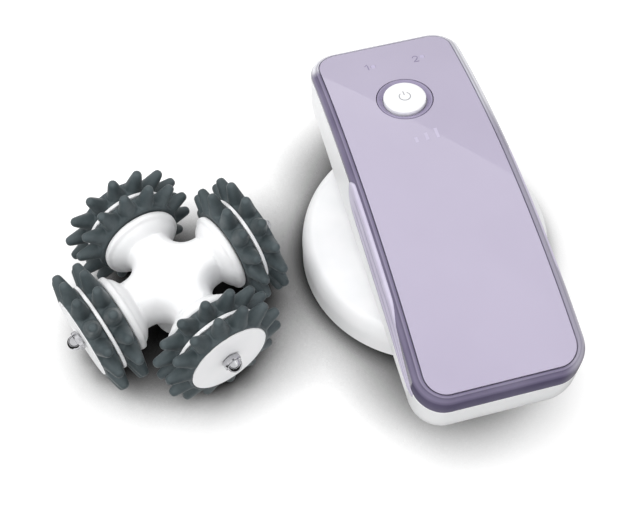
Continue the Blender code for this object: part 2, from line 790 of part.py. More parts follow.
def make_button(button_frame):
    """A white cap with a flange under the bezel and a stem that presses the switch."""
    top = -BUTTON_SINK
    bottom = cap_bottom()
    flange = BUTTON_RADIUS + BUTTON_FLANGE
    outline = [(0, top + BUTTON_DOME), (BUTTON_RADIUS / 2, top + BUTTON_DOME * 3 / 4), (BUTTON_RADIUS - BUTTON_DOME, top)]
    outline += [(BUTTON_RADIUS, top - BUTTON_DOME), (BUTTON_RADIUS, bottom + BUTTON_FLANGE_HEIGHT)]
    outline += [(flange, bottom + BUTTON_FLANGE_HEIGHT), (flange, bottom)]
    outline += [(BUTTON_STEM_RADIUS, bottom), (BUTTON_STEM_RADIUS, plunger_top() + GAP), (0, plunger_top() + GAP)]
    turned("power_button", outline, "white", parent=button_frame)


def plunger_top():
    return cap_bottom() - BUTTON_FLANGE_HEIGHT


def switch_top():
    return plunger_top() - PLUNGER_STICKOUT


def board_top():
    return switch_top() - SWITCH_HEIGHT - GAP


def board_post_places():
    y = BOARD_AHEAD - BOARD_POST_RADIUS
    return [(side * BOARD_WIDTH * BOARD_POST_SHARE, y) for side in (-1, 1)]


def make_board(button_frame):
    """The populated control board, with its tact switch and the plunger that the button presses."""
    length = BOARD_BEHIND + BOARD_AHEAD
    middle = (BOARD_AHEAD - BOARD_BEHIND) / 2
    top = board_top()
    size = (BOARD_WIDTH, length, BOARD_THICKNESS)
    board = block("control_board", size, (0, middle, top - BOARD_THICKNESS / 2), "board", button_frame)
    for x, y in board_post_places():
        low = top - BOARD_THICKNESS - OVERRUN
        cut(board, rod("board_hole", BOARD_PIN_RADIUS + RUNNING_GAP, low, top + OVERRUN, parent=button_frame,
                       location=(x, y, 0)))
    join(board, *board_components(button_frame, top - SOLDER_SINK))
    seat = top + RUNNING_GAP
    switch_size = (SWITCH_WIDTH, SWITCH_WIDTH, switch_top() - seat)
    switch = block("tact_switch", switch_size, (0, 0, (switch_top() + seat) / 2), "black", button_frame)
    well = switch_top() - PLUNGER_STICKOUT / 2 - BUTTON_TRAVEL - GAP
    cut(switch, rod("plunger_well", PLUNGER_RADIUS + GAP, well, OVERRUN, parent=button_frame))
    low = switch_top() - PLUNGER_STICKOUT / 2
    rod("switch_plunger", PLUNGER_RADIUS, low, plunger_top(), "black", parent=button_frame)


def board_components(button_frame, seat):
    """The soldered pieces: a chip, a light under each pipe, and a capacitor below the board."""
    chip_x = BOARD_WIDTH * CHIP_PLACE_SHARES[0]
    chip_y = BOARD_AHEAD * CHIP_PLACE_SHARES[1]
    pieces = [block("chip", CHIP_SIZE, (chip_x, chip_y, seat + CHIP_SIZE[2] / 2), "black", button_frame)]
    for step, x in enumerate(LIGHT_XS):
        centre = (x, LIGHT_AHEAD, seat + LED_SIZE / 2)
        pieces.append(block(f"led_{step}", (LED_SIZE, LED_SIZE, LED_SIZE), centre, "lens", button_frame))
    high = board_top() - BOARD_THICKNESS + SOLDER_SINK
    place = (BOARD_WIDTH * CAPACITOR_PLACE_SHARES[0], BOARD_AHEAD * CAPACITOR_PLACE_SHARES[1], 0)
    pieces.append(rod("capacitor", CAPACITOR_RADIUS, high - CAPACITOR_HEIGHT, high, "black", parent=button_frame,
                      location=place))
    return pieces


# Batteries and charging inlet


def cell_height():
    return CASING_INSIDE + GAP + TRAY_FLOOR + CELL_RADIUS + GAP


def cell_xs():
    return [(step - (CELL_COUNT - 1) / 2) * CELL_PITCH for step in range(CELL_COUNT)]


def cell_far_end():
    """Where the cells' nubs end, towards the motor."""
    return TRAY_FAR_Y - TRAY_END - GAP - CONTACT_THICKNESS - GAP


def cell_near_end():
    return cell_far_end() - CELL_NUB_LENGTH - CELL_LENGTH


def tray_near_end():
    return cell_near_end() - GAP - CONTACT_THICKNESS - GAP - TRAY_END


def lying_rod(name, radius, start, end, material, steps=MEDIUM_STEPS, x=0):
    """A rod along Y at the cells' height."""
    piece = rod(name, radius, start, end, material, steps, location=(x, 0, cell_height()))
    piece.rotation_euler = (-math.pi / 2, 0, 0)
    return piece


def make_batteries():
    """Three cells side by side in a tray, with a contact strip across each end of the row."""
    width = CELL_PITCH * (CELL_COUNT - 1) + CELL_RADIUS * 2
    bottom = CASING_INSIDE + GAP
    size = (width, TRAY_FAR_Y - tray_near_end(), TRAY_END_HEIGHT)
    middle = (TRAY_FAR_Y + tray_near_end()) / 2
    tray = block("battery_tray", size, (0, middle, bottom + TRAY_END_HEIGHT / 2), "black")
    inside_near = tray_near_end() + TRAY_END
    inside_far = TRAY_FAR_Y - TRAY_END
    room = (width + OVERRUN, inside_far - inside_near, TRAY_END_HEIGHT)
    cut(tray, block("tray_room", room, (0, middle, bottom + TRAY_HEIGHT + TRAY_END_HEIGHT / 2)))
    body_end = cell_far_end() - CELL_NUB_LENGTH
    for step, x in enumerate(cell_xs()):
        cut(tray, lying_rod(f"cell_groove_{step}", CELL_RADIUS + GAP, inside_near, inside_far, "black", x=x))
        cell = lying_rod(f"battery_cell_{step + 1}", CELL_RADIUS, cell_near_end(), body_end, "cell", x=x)
        nub_start = body_end - CELL_NUB_LENGTH
        join(cell, lying_rod(f"cell_nub_{step}", CELL_NUB_RADIUS, nub_start, cell_far_end(), "steel", SMALL_STEPS, x=x))
    contact = (width * CONTACT_WIDTH_SHARE, CONTACT_THICKNESS, CELL_RADIUS)
    height = bottom + TRAY_HEIGHT + GAP + CELL_RADIUS / 2
    for name, y in (("near", cell_near_end() - GAP - CONTACT_THICKNESS / 2),
                    ("far", cell_far_end() + GAP + CONTACT_THICKNESS / 2)):
        block(f"battery_contact_{name}", contact, (0, y, height), "brass")


def jack_height():
    """The inlet sits just below the board's far edge."""
    edge = button_place() @ Vector((0, BOARD_AHEAD, board_top() - BOARD_THICKNESS))
    return edge.z - JACK_BELOW_BOARD - JACK_HEIGHT / 2


def make_jack():
    """The charging inlet: a box behind the far wall with a round nose let into it and a centre pin."""
    wall_inside = HANDLE_CENTRE_Y + HALF_LENGTH - CASING_WALL - JACK_SETBACK
    height = jack_height()
    size = (JACK_WIDTH, JACK_LENGTH, JACK_HEIGHT)
    jack = block("charging_jack", size, (0, wall_inside - JACK_LENGTH / 2, height), "black")
    nose = rod("jack_nose", JACK_NOSE_RADIUS, -OVERRUN, CASING_WALL + JACK_SETBACK, "black", JACK_STEPS)
    mouth = CASING_WALL + OVERRUN
    bottom = -JACK_LENGTH * 3 / 4
    pin_end = CASING_WALL / 2
    hollow = [(0, mouth), (JACK_BORE_RADIUS, mouth), (JACK_BORE_RADIUS, bottom), (JACK_PIN_RADIUS, bottom)]
    hollow += [(JACK_PIN_RADIUS, pin_end), (0, pin_end)]
    bore = turned("jack_bore", hollow, "black", JACK_STEPS)
    for piece in (nose, bore):
        piece.rotation_euler = (-math.pi / 2, 0, 0)
        piece.location = (0, wall_inside, height)
    join(jack, nose)
    cut(jack, bore)


# Motor and bracket


def motor_bottom():
    return CASING_INSIDE + GAP


def motor_top():
    """The motor's nose ends just below the board's level at the button."""
    level = button_place() @ Vector((0, 0, board_top() - BOARD_THICKNESS))
    return level.z - MOTOR_BELOW_BOARD - MOTOR_NOSE_LENGTH


def bracket_screw_places():
    x = MOTOR_RADIUS + GAP + BRACKET_WALL + BRACKET_EAR_REACH / 2
    return [(side * x, MOTOR_Y) for side in (-1, 1)]


def make_motor():
    bottom = motor_bottom()
    top = motor_top()
    well = MOTOR_SHAFT_RADIUS + RUNNING_GAP
    crest = top + MOTOR_NOSE_LENGTH
    outline = [(0, crest), (MOTOR_NOSE_RADIUS, crest), (MOTOR_NOSE_RADIUS, top)]
    outline += [(MOTOR_RADIUS - MOTOR_NOSE_LENGTH, top), (MOTOR_RADIUS, top - MOTOR_NOSE_LENGTH)]
    outline += [(MOTOR_RADIUS, bottom), (MOTOR_NOSE_RADIUS, bottom)]
    outline += [(MOTOR_NOSE_RADIUS, bottom - MOTOR_NOSE_LENGTH)]
    outline += [(well, bottom - MOTOR_NOSE_LENGTH), (well, bottom + MOTOR_SHAFT_INSIDE + GAP)]
    outline += [(0, bottom + MOTOR_SHAFT_INSIDE + GAP)]
    turned("motor", outline, "steel", location=(0, MOTOR_Y, 0))
    inner = MOTOR_RADIUS + GAP
    outer = inner + BRACKET_WALL
    tube = [(inner, bottom + BRACKET_HEIGHT), (outer, bottom + BRACKET_HEIGHT), (outer, bottom), (inner, bottom)]
    bracket = turned("motor_bracket", tube, "white", location=(0, MOTOR_Y, 0), tube=True)
    overlap = BRACKET_WALL / 2
    reach = BRACKET_EAR_REACH + overlap
    for step, (x, y) in enumerate(bracket_screw_places()):
        side = math.copysign(1, x)
        centre = (side * (outer - overlap + reach / 2), y, bottom + BRACKET_EAR_THICKNESS / 2)
        join(bracket, block(f"bracket_ear_{step}", (reach, BRACKET_EAR_WIDTH, BRACKET_EAR_THICKNESS), centre))
    for x, y in bracket_screw_places():
        high = bottom + BRACKET_EAR_THICKNESS + OVERRUN
        cut(bracket, screw_hole("ear_hole", x, y, bottom - OVERRUN, high))
    under_head = bottom + BRACKET_EAR_THICKNESS + RUNNING_GAP
    add_screws("motor_screw", bracket_screw_places(), under_head, MOTOR_SCREW_LENGTH, False)


# Drive base


def shoulder_points(radius, top, width, drop):
    """A quarter of an ellipse from the flat top to the upright side, for a profile running down."""
    points = []
    for step in range(ROUND_RINGS + 2):
        angle = math.pi / 2 * step / (ROUND_RINGS + 1)
        points.append((radius - width * (1 - math.sin(angle)), top - drop * (1 - math.cos(angle))))
    return points


def make_base_housing():
    """The round upper shell of the drive base, with bosses under its ceiling."""
    inner = BASE_RADIUS - BASE_WALL
    ledge = inner - BASE_LEDGE
    outline = [(0, BASE_HEIGHT)] + shoulder_points(BASE_RADIUS, BASE_HEIGHT, BASE_SHOULDER_WIDTH, BASE_SHOULDER_DROP)
    outline += [(BASE_RADIUS, 0), (inner, 0), (inner, PLATE_TOP + GAP), (ledge, PLATE_TOP + GAP)]
    outline += [(ledge, BASE_CEILING), (0, BASE_CEILING)]
    housing = turned("drive_housing", outline, "white", ROUND_STEPS)
    roof = BASE_CEILING + BASE_WALL / 2
    boss = spindle_top_bush_radius() + RUNNING_GAP + BOSS_WALL
    join(housing, rod("spindle_boss", boss, BASE_CEILING - UPPER_BOSS_DEPTH, roof, "white", MEDIUM_STEPS))
    bush_hole = spindle_top_bush_radius() + RUNNING_GAP
    cut(housing, rod("bush_hole", bush_hole, GEAR_TOP, BASE_CEILING + GAP, steps=MEDIUM_STEPS))
    for x, y in base_screw_places():
        join(housing, rod("plate_boss", SCREW_BOSS_RADIUS, PLATE_TOP + GAP, roof, "white", location=(x, y, 0)))
        cut(housing, screw_hole("base_screw_hole", x, y, PLATE_TOP - OVERRUN, BASE_HEIGHT + OVERRUN))
    hole = MOTOR_NOSE_RADIUS + GAP
    low = BASE_CEILING - OVERRUN
    high = BASE_HEIGHT + OVERRUN
    cut(housing, rod("motor_nose_pocket", hole, low, high, location=(0, MOTOR_Y, 0)))
    return housing


def make_base_plate():
    """The plate that closes the gear chamber, set up inside the base's rim, and the screws that hold base and handle."""
    outer = BASE_RADIUS - BASE_WALL - GAP
    plate = rod("base_plate", outer, PLATE_BOTTOM, PLATE_TOP, "white", ROUND_STEPS)
    bush = spindle_low_bush_radius() + RUNNING_GAP
    low = PLATE_BOTTOM - OVERRUN
    high = PLATE_TOP + OVERRUN
    cut(plate, rod("plate_bush_hole", bush, low, high, steps=MEDIUM_STEPS))
    for x, y in base_screw_places():
        cut(plate, screw_hole("plate_hole", x, y, low, high))
    under_head = PLATE_BOTTOM - RUNNING_GAP
    length = base_boss_top() - SCREW_RADIUS - under_head
    add_screws("base_screw", base_screw_places(), under_head, length, True)


def spindle_top_bush_radius():
    return SPINDLE_TOP_RADIUS + RUNNING_GAP + BUSH_WALL


def spindle_low_bush_radius():
    return SPINDLE_RADIUS + RUNNING_GAP + BUSH_WALL


def make_spindle(frame):
    """The output spindle: a top journal, the gear's seat, a low journal and the square drive end."""
    top = BASE_CEILING - GAP
    drive_top = PLATE_BOTTOM
    outline = [(0, top), (SPINDLE_TOP_RADIUS, top), (SPINDLE_TOP_RADIUS, GEAR_TOP + GAP)]
    outline += [(SPINDLE_RADIUS, GEAR_TOP + GAP), (SPINDLE_RADIUS, drive_top), (0, drive_top)]
    spindle = turned("drive_spindle", outline, "steel", MEDIUM_STEPS, frame)
    overlap = BASE_PLATE_THICKNESS / 2
    height = drive_top + overlap - SPINDLE_DRIVE_CLEARANCE
    size = (SPINDLE_DRIVE_SIDE, SPINDLE_DRIVE_SIDE, height)
    end = block("square_end", size, (0, 0, SPINDLE_DRIVE_CLEARANCE + height / 2), parent=frame)
    join(spindle, end)


def make_bushes():
    bore = SPINDLE_TOP_RADIUS + RUNNING_GAP
    outer = spindle_top_bush_radius()
    high = BASE_CEILING
    low = GEAR_TOP + GAP * 2
    profile = [(bore, high), (outer, high), (outer, low), (bore, low)]
    turned("upper_bush", profile, "brass", MEDIUM_STEPS, tube=True)
    bore = SPINDLE_RADIUS + RUNNING_GAP
    outer = spindle_low_bush_radius()
    rim = outer + BUSH_FLANGE
    shelf = PLATE_TOP + RUNNING_GAP
    top = shelf + BUSH_FLANGE_THICKNESS - RUNNING_GAP
    profile = [(bore, top), (rim, top), (rim, shelf), (outer, shelf), (outer, PLATE_BOTTOM), (bore, PLATE_BOTTOM)]
    turned("lower_bush", profile, "brass", MEDIUM_STEPS, tube=True)


# Gears


def involute(angle):
    return math.tan(angle) - angle


def gear_outline(teeth, turn):
    """Points round a spur gear: for each tooth, up its flank, over its tip and down again."""
    pitch = GEAR_MODULE * teeth / 2
    base = pitch * math.cos(math.radians(GEAR_PRESSURE_ANGLE))
    tip = pitch + GEAR_MODULE * GEAR_ADDENDUM_SHARE
    root = pitch - GEAR_MODULE * GEAR_DEDENDUM_SHARE
    half_tooth = (math.pi * GEAR_MODULE / 2 - GEAR_BACKLASH) / (2 * pitch)
    at_pitch = involute(math.radians(GEAR_PRESSURE_ANGLE))
    flank = []
    for radius in (max(base, root), tip) if teeth > PINION_TEETH else (base, pitch, tip):
        roll = math.acos(min(1.0, base / radius))
        flank.append((radius, half_tooth + at_pitch - involute(roll)))
    if root < base:
        flank.insert(0, (root, flank[0][1]))
    points = []
    for tooth in range(teeth):
        middle = turn + 2 * math.pi * tooth / teeth
        sides = [(radius, middle - spread) for radius, spread in flank]
        sides += [(radius, middle + spread) for radius, spread in reversed(flank)]
        points += [(radius * math.cos(angle), radius * math.sin(angle)) for radius, angle in sides]
    return points


def make_gears(spindle_frame, pinion_frame):
    """The large gear has a tooth towards the motor, and the pinion has a gap there."""
    gear = prism("drive_gear", gear_outline(GEAR_TEETH, math.pi / 2), GEAR_BOTTOM, GEAR_TOP, "gear", spindle_frame)
    bore = SPINDLE_RADIUS + RUNNING_GAP
    cut(gear, rod("gear_bore", bore, GEAR_BOTTOM - OVERRUN, GEAR_TOP + OVERRUN, steps=MEDIUM_STEPS, parent=spindle_frame))
    turn = -math.pi / 2 + math.pi / PINION_TEETH
    pinion = prism("motor_pinion", gear_outline(PINION_TEETH, turn), GEAR_BOTTOM, GEAR_TOP, "brass", pinion_frame)
    bore = MOTOR_SHAFT_RADIUS + RUNNING_GAP
    cut(pinion, rod("pinion_bore", bore, GEAR_BOTTOM - OVERRUN, GEAR_TOP + OVERRUN, parent=pinion_frame))
    rod("motor_shaft", MOTOR_SHAFT_RADIUS, GEAR_BOTTOM, motor_bottom() + MOTOR_SHAFT_INSIDE, parent=pinion_frame)


# Massage head


def outward_place(angle):
    """Turns a roller's own frame so that its Z runs out along the axle and its X points up."""
    out = Vector((math.cos(angle), math.sin(angle), 0))
    up = Vector((0, 0, 1))
    side = out.cross(up)
    return Matrix((up, side, out)).transposed().to_4x4()


def hub_outline():
    """A cross seen from above, with its arms joined by hollow corners."""
    half = HUB_ARM_HALF_WIDTH
    centre = half + HUB_FILLET_RADIUS
    corner = [(HUB_ARM_REACH, half)]
    for step in range(HUB_FILLET_SEGMENTS + 1):
        angle = -math.pi / 2 - math.pi / 2 * step / HUB_FILLET_SEGMENTS
        corner.append((centre + HUB_FILLET_RADIUS * math.cos(angle), centre + HUB_FILLET_RADIUS * math.sin(angle)))
    corner.append((half, HUB_ARM_REACH))
    points = []
    for quarter in range(ROLLER_COUNT):
        turn = Matrix.Rotation(quarter * math.pi / 2, 2)
        points += [tuple(turn @ Vector(point)) for point in corner]
    return points


def flange_profile(start):
    """Half section of one arm's flange: its face, its thick rim, the cone behind it and the neck."""
    points = [(0, FLANGE_FACE), (FLANGE_RADIUS - FLANGE_RIM * FLANGE_BACK_SHARES[0][1], FLANGE_FACE)]
    for radius_share, rim_share in FLANGE_BACK_SHARES:
        points.append((FLANGE_RADIUS * radius_share, FLANGE_FACE - FLANGE_RIM * rim_share))
    return points + [(FLANGE_NECK_RADIUS, start), (0, start)]


def make_hub(head):
    """The white star frame: a cross-shaped block with a flange at the end of each arm."""
    hub = prism("head_hub", hub_outline(), -HUB_HALF_HEIGHT, HUB_HALF_HEIGHT, "white", head)
    bevel = hub.modifiers.new("edge_round", "BEVEL")
    bevel.width = HUB_EDGE_ROUND
    bevel.segments = 2
    bevel.limit_method = "ANGLE"
    bevel.angle_limit = math.radians(60)
    start = HUB_ARM_REACH - HUB_EDGE_ROUND * 2
    for step in range(ROLLER_COUNT):
        frame = add_frame(f"hub_arm_axis_{step + 1}", outward_place(step * math.pi / 2), head)
        join(hub, turned(f"hub_flange_{step + 1}", flange_profile(start), "white", FLANGE_STEPS, frame))
        hole = AXLE_RADIUS + RUNNING_GAP
        cut(hub, rod(f"axle_hole_{step + 1}", hole, AXLE_INNER_END - GAP, FLANGE_FACE + OVERRUN, parent=frame))
    low = -HUB_HALF_HEIGHT - OVERRUN
    hole = SOCKET_SPIGOT_RADIUS + RUNNING_GAP
    high = SOCKET_SPIGOT_LENGTH + GAP - HUB_HALF_HEIGHT
    cut(hub, rod("spigot_hole", hole, low, high, steps=MEDIUM_STEPS, parent=head))


def make_drive_socket(head):
    """The coupling pressed into the hub's underside, with the square hole that takes the spindle."""
    shoulder = -HUB_HALF_HEIGHT - GAP
    top = shoulder + SOCKET_SPIGOT_LENGTH
    bottom = SOCKET_STANDOFF - AXLE_HEIGHT
    flare = SOCKET_RADIUS - SOCKET_SHOULDER_RADIUS
    outline = [(0, top), (SOCKET_SPIGOT_RADIUS, top), (SOCKET_SPIGOT_RADIUS, shoulder), (SOCKET_SHOULDER_RADIUS, shoulder)]
    outline += [(SOCKET_RADIUS, shoulder - flare), (SOCKET_RADIUS, bottom), (0, bottom)]
    socket = turned("drive_socket", outline, "white", MEDIUM_STEPS, head)
    width = SPINDLE_DRIVE_SIDE + SOCKET_CLEARANCE * 2
    depth = SOCKET_DEPTH + OVERRUN
    hole = block("socket_square", (width, width, depth), (0, 0, bottom + SOCKET_DEPTH - depth / 2), parent=head)
    cut(socket, hole)


def tooth_mesh():
    """One blunt cone, its root inside the ring's band and its tip at the roller's reach."""
    root = RING_RADIUS - TOOTH_ROOT_SINK
    outline = [(0, TOOTH_REACH), (TOOTH_TIP_RADIUS, TOOTH_REACH), (TOOTH_BASE_RADIUS, root), (0, root)]
    return settled_mesh(as_cutter(turned("tooth_one", outline, "rubber", TOOTH_SIDES)))


def toothed_ring(name, start, lip_start=None):
    """A rubber ring with a flat under each of its teeth, one tooth straight up, and a lip round the cap if asked."""
    end = start + RING_WIDTH
    body = rod(name + "_band", RING_RADIUS / math.cos(math.pi / TEETH), start, end, "rubber", TEETH)
    bore = RING_CORE_RADIUS + RUNNING_GAP
    hollow = [(0, end + OVERRUN), (bore, end + OVERRUN), (bore, start - OVERRUN), (0, start - OVERRUN)]
    if lip_start:
        lip = CAP_RADIUS + RUNNING_GAP
        hollow[1:2] = [(lip, end + OVERRUN), (lip, lip_start), (bore, lip_start)]
    cut(body, turned(name + "_hollow", hollow, "rubber", TEETH * 2))
    tooth = tooth_mesh()
    bm = bmesh.new()
    for step in range(TEETH):
        before = len(bm.verts)
        bm.from_mesh(tooth)
        bm.verts.ensure_lookup_table()
        turn = Matrix.Rotation(math.pi * (2 * step + 1) / TEETH, 4, "Z")
        place = turn @ Matrix.Translation((0, 0, (start + end) / 2)) @ Matrix.Rotation(math.pi / 2, 4, "Y")
        bmesh.ops.transform(bm, matrix=place, verts=bm.verts[before:])
    join(body, add_part(name + "_crown", mesh_from(name + "_crown", bm), "rubber"))
    mesh = settled_mesh(as_cutter(body))
    mesh.transform(Matrix.Rotation(-math.pi / TEETH, 4, "Z"))
    return mesh


def make_rollers(head):
    """Four like rollers: a core with its spacer rib, two toothed rings, a cap, an axle and a domed nut."""
    inner_mesh = toothed_ring("inner_ring", INNER_RING_START)
    outer_mesh = toothed_ring("outer_ring", OUTER_RING_START, CORE_END)
    core_mesh = settled_mesh(as_cutter(turned("core_one", core_profile(), "white", TEETH * 2, tube=True)))
    cap_mesh = settled_mesh(as_cutter(turned("cap_one", cap_profile(), "white", TEETH * 2, tube=True)))
    axle_mesh = settled_mesh(as_cutter(rod("axle_one", AXLE_RADIUS, AXLE_INNER_END, AXLE_OUTER_END)))
    nut_mesh = settled_mesh(as_cutter(acorn_nut()))
    for step in range(ROLLER_COUNT):
        frame = add_frame(f"roller_axis_{step + 1}", outward_place(step * math.pi / 2), head)
        add_part(f"roller_core_{step + 1}", core_mesh, "white", frame)
        add_part(f"inner_ring_{step + 1}", inner_mesh, "rubber", frame)
        add_part(f"outer_ring_{step + 1}", outer_mesh, "rubber", frame)
        add_part(f"roller_cap_{step + 1}", cap_mesh, "white", frame)
        add_part(f"axle_{step + 1}", axle_mesh, "steel", frame)
        add_part(f"acorn_nut_{step + 1}", nut_mesh, "steel", frame)


def core_profile():
    bore = AXLE_RADIUS + RUNNING_GAP
    core = RING_CORE_RADIUS
    rib_end = SPACER_START + SPACER_WIDTH
    points = [(bore, CORE_END), (core, CORE_END), (core, rib_end), (SPACER_RADIUS, rib_end)]
    points += [(SPACER_RADIUS, SPACER_START), (core, SPACER_START), (core, INNER_RING_START), (bore, INNER_RING_START)]
    return points


def cap_profile():
    bore = AXLE_RADIUS + RUNNING_GAP
    return [(bore, CAP_FACE), (CAP_RADIUS, CAP_FACE), (CAP_RADIUS, CAP_START), (bore, CAP_START)]


def acorn_nut():
    """A hexagon with a round dome, and a blind bore for the axle's end."""
    hexagon_end = NUT_START + NUT_THICKNESS
    centre = hexagon_end + NUT_DOME_RISE
    corner = NUT_FLAT_WIDTH / math.sqrt(3)
    nut = rod("nut_one", corner, NUT_START, hexagon_end, "steel", 6)
    outline = []
    for step in range(ROUND_RINGS + 2):
        angle = math.pi / 2 * step / (ROUND_RINGS + 1)
        outline.append((NUT_DOME_RADIUS * math.sin(angle), centre + NUT_DOME_RADIUS * math.cos(angle)))
    outline += [(NUT_DOME_RADIUS, NUT_START + NUT_THICKNESS / 2), (0, NUT_START + NUT_THICKNESS / 2)]
    join(nut, turned("nut_dome", outline, "steel", SMALL_STEPS))
    cut(nut, rod("nut_bore", AXLE_RADIUS + RUNNING_GAP, NUT_START - OVERRUN, AXLE_OUTER_END + RUNNING_GAP))
    return nut


def main():
    spindle_frame = add_frame("spindle_axis")
    pinion_frame = add_frame("pinion_axis", Matrix.Translation((0, MOTOR_Y, 0)))
    button_frame = add_frame("button_axis", button_place())
    head_place = Matrix.Translation((HEAD_X, HEAD_Y, AXLE_HEIGHT)) @ Matrix.Rotation(math.radians(HEAD_TURN), 4, "Z")
    head = add_frame("massage_head", head_place)

    make_base_housing()
    make_base_plate()
    make_bushes()
    make_spindle(spindle_frame)
    make_gears(spindle_frame, pinion_frame)

    make_casing()
    make_cover(button_frame)
    make_panel(button_frame)
    make_grips()
    make_bezel(button_frame)
    make_button(button_frame)
    make_light_pipe(button_frame)
    make_board(button_frame)
    make_batteries()
    make_jack()
    make_motor()

    make_hub(head)
    make_drive_socket(head)
    make_rollers(head)


main()
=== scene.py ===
"""Looks of the powered body massager: finely made pieces, materials, floor, lights and camera.

Metres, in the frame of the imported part. The drive base stands on the floor at the origin, the handle
runs along Y, and the head lies beside it towards -X.
"""

import json
from math import asin, atan2, copysign, cos, exp, hypot, pi, radians, sin, sqrt

import bmesh
import bpy
from mathutils import Matrix, Vector


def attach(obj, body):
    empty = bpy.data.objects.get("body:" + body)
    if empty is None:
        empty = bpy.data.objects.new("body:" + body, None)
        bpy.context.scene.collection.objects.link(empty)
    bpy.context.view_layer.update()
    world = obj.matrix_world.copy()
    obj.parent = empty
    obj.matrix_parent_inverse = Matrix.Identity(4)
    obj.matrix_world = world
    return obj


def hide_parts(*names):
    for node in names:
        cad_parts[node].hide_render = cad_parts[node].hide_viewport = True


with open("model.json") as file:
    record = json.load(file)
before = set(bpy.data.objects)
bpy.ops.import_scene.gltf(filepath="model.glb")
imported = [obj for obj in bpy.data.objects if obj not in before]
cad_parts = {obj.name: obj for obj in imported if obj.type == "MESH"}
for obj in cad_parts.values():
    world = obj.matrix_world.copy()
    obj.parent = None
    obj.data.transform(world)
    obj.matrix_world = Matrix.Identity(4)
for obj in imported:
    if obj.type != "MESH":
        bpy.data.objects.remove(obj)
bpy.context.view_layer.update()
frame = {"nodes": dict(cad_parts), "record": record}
BODIES = frame["record"]["behaviour"]["bodies"]
BODY_OF = {node: body for body, nodes in BODIES.items() for node in nodes}

# Sizes, mostly those of the part's source. The rim, the hull's rounding, the parting line, the button,
# the bezel, the hub and the ribs differ a little, to match the photo.
GAP = 0.0003
HALF_WIDTH = 0.0657 / 2
HALF_LENGTH = 0.1674 / 2
CENTRE_Y = -0.0062
CORNER_RADIUS = 0.0122
CROWN_HEIGHT = 0.0620
ARCH_RADIUS = 0.334
RIM_DROP = 0.0030
RIM_WIDTH_SIDE = 0.0039
RIM_WIDTH_END = 0.0031
RIM_EXTRA_NEAR = -0.0003
RIM_POWER = 1.75
HULL_ROUND_SIDE = 0.0108
HULL_ROUND_END = 0.0066
HULL_ROUND_HEIGHT = 0.0150
CASING_BASE = 0.0191
CASING_WALL = 0.0028
CASING_FLOOR = 0.0024
COVER_SIDE_WALL = 0.0036
COVER_PLATE = 0.0022
SIDE_BAND_DROP = 0.0044
END_BAND_DROP = 0.0100
BAND_RAMP_SHARES = (0.55, 0.93)
PANEL_THICKNESS = 0.0010
PANEL_CORNER_RADIUS = 0.0083
GRIP_DEPTH = 0.0018
GRIP_TOP_DROP = 0.0012
GRIP_START_SHARE = -0.145
GRIP_TIP_SHARE = 0.885
GRIP_FALL_SHARES = (0.50, 0.77)
GRIP_LOWER_SHARES = (
    (-0.145, 0.63), (-0.06, 0.575), (0.20, 0.54), (0.55, 0.52), (0.78, 0.51), (0.85, 0.56),
    (0.885, 0.62),
)
BUTTON_Y = 0.0392
BUTTON_RADIUS = 0.0088
BUTTON_SINK = -0.0008
BUTTON_DOME = 0.0005
BUTTON_SKIRT = 0.0046
BUTTON_FLANGE = 0.0008
BEZEL_RADIUS = 0.0115
BEZEL_SINK = 0.0011
BEZEL_DEPTH = 0.0042
LIGHT_RADIUS = 0.0011
LIGHT_AHEAD = 0.0230
LIGHT_XS = (-0.0068, 0.0148)
BASE_RADIUS = 0.0527
BASE_HEIGHT = 0.0188
BASE_WALL = 0.0022
BASE_SHOULDER_WIDTH = 0.0048
BASE_SHOULDER_DROP = 0.0090
BASE_LEDGE = 0.0012
PLATE_TOP = 0.0086
HEAD_CENTRE = (-0.1091, -0.0026, 0.0267)
HEAD_TURN = radians(-68.3)
HEAD_PLACE = Matrix.Translation(HEAD_CENTRE) @ Matrix.Rotation(HEAD_TURN, 4, "Z")
HUB_HALF_HEIGHT = 0.0102
HUB_ARM_HALF_WIDTH = 0.0098
HUB_ARM_REACH = 0.0176
HUB_FILLET_RADIUS = 0.0068
HUB_ROUND_WIDTH = 0.0056
FLANGE_RADIUS = 0.0166
FLANGE_FACE = 0.0253
FLANGE_NECK_RADIUS = 0.0096
RING_WIDTH = 0.0075
RING_RADIUS = 0.0182
RING_CORE_RADIUS = 0.0145
TOOTH_REACH = 0.0267
TEETH = 14
INNER_RING_START = 0.0256
SPACER_START = 0.03314
SPACER_WIDTH = 0.00142
SPACER_RADIUS = 0.0188
OUTER_RING_START = 0.0346
CORE_END = 0.0408
CAP_START = 0.04095
CAP_THICKNESS = 0.0013
CAP_RADIUS = 0.0170
NUT_START = 0.04255
NUT_FLAT_WIDTH = 0.0070
NUT_THICKNESS = 0.0024
NUT_DOME_RADIUS = 0.0031
NUT_DOME_RISE = 0.0002
AXLE_BORE = 0.00212

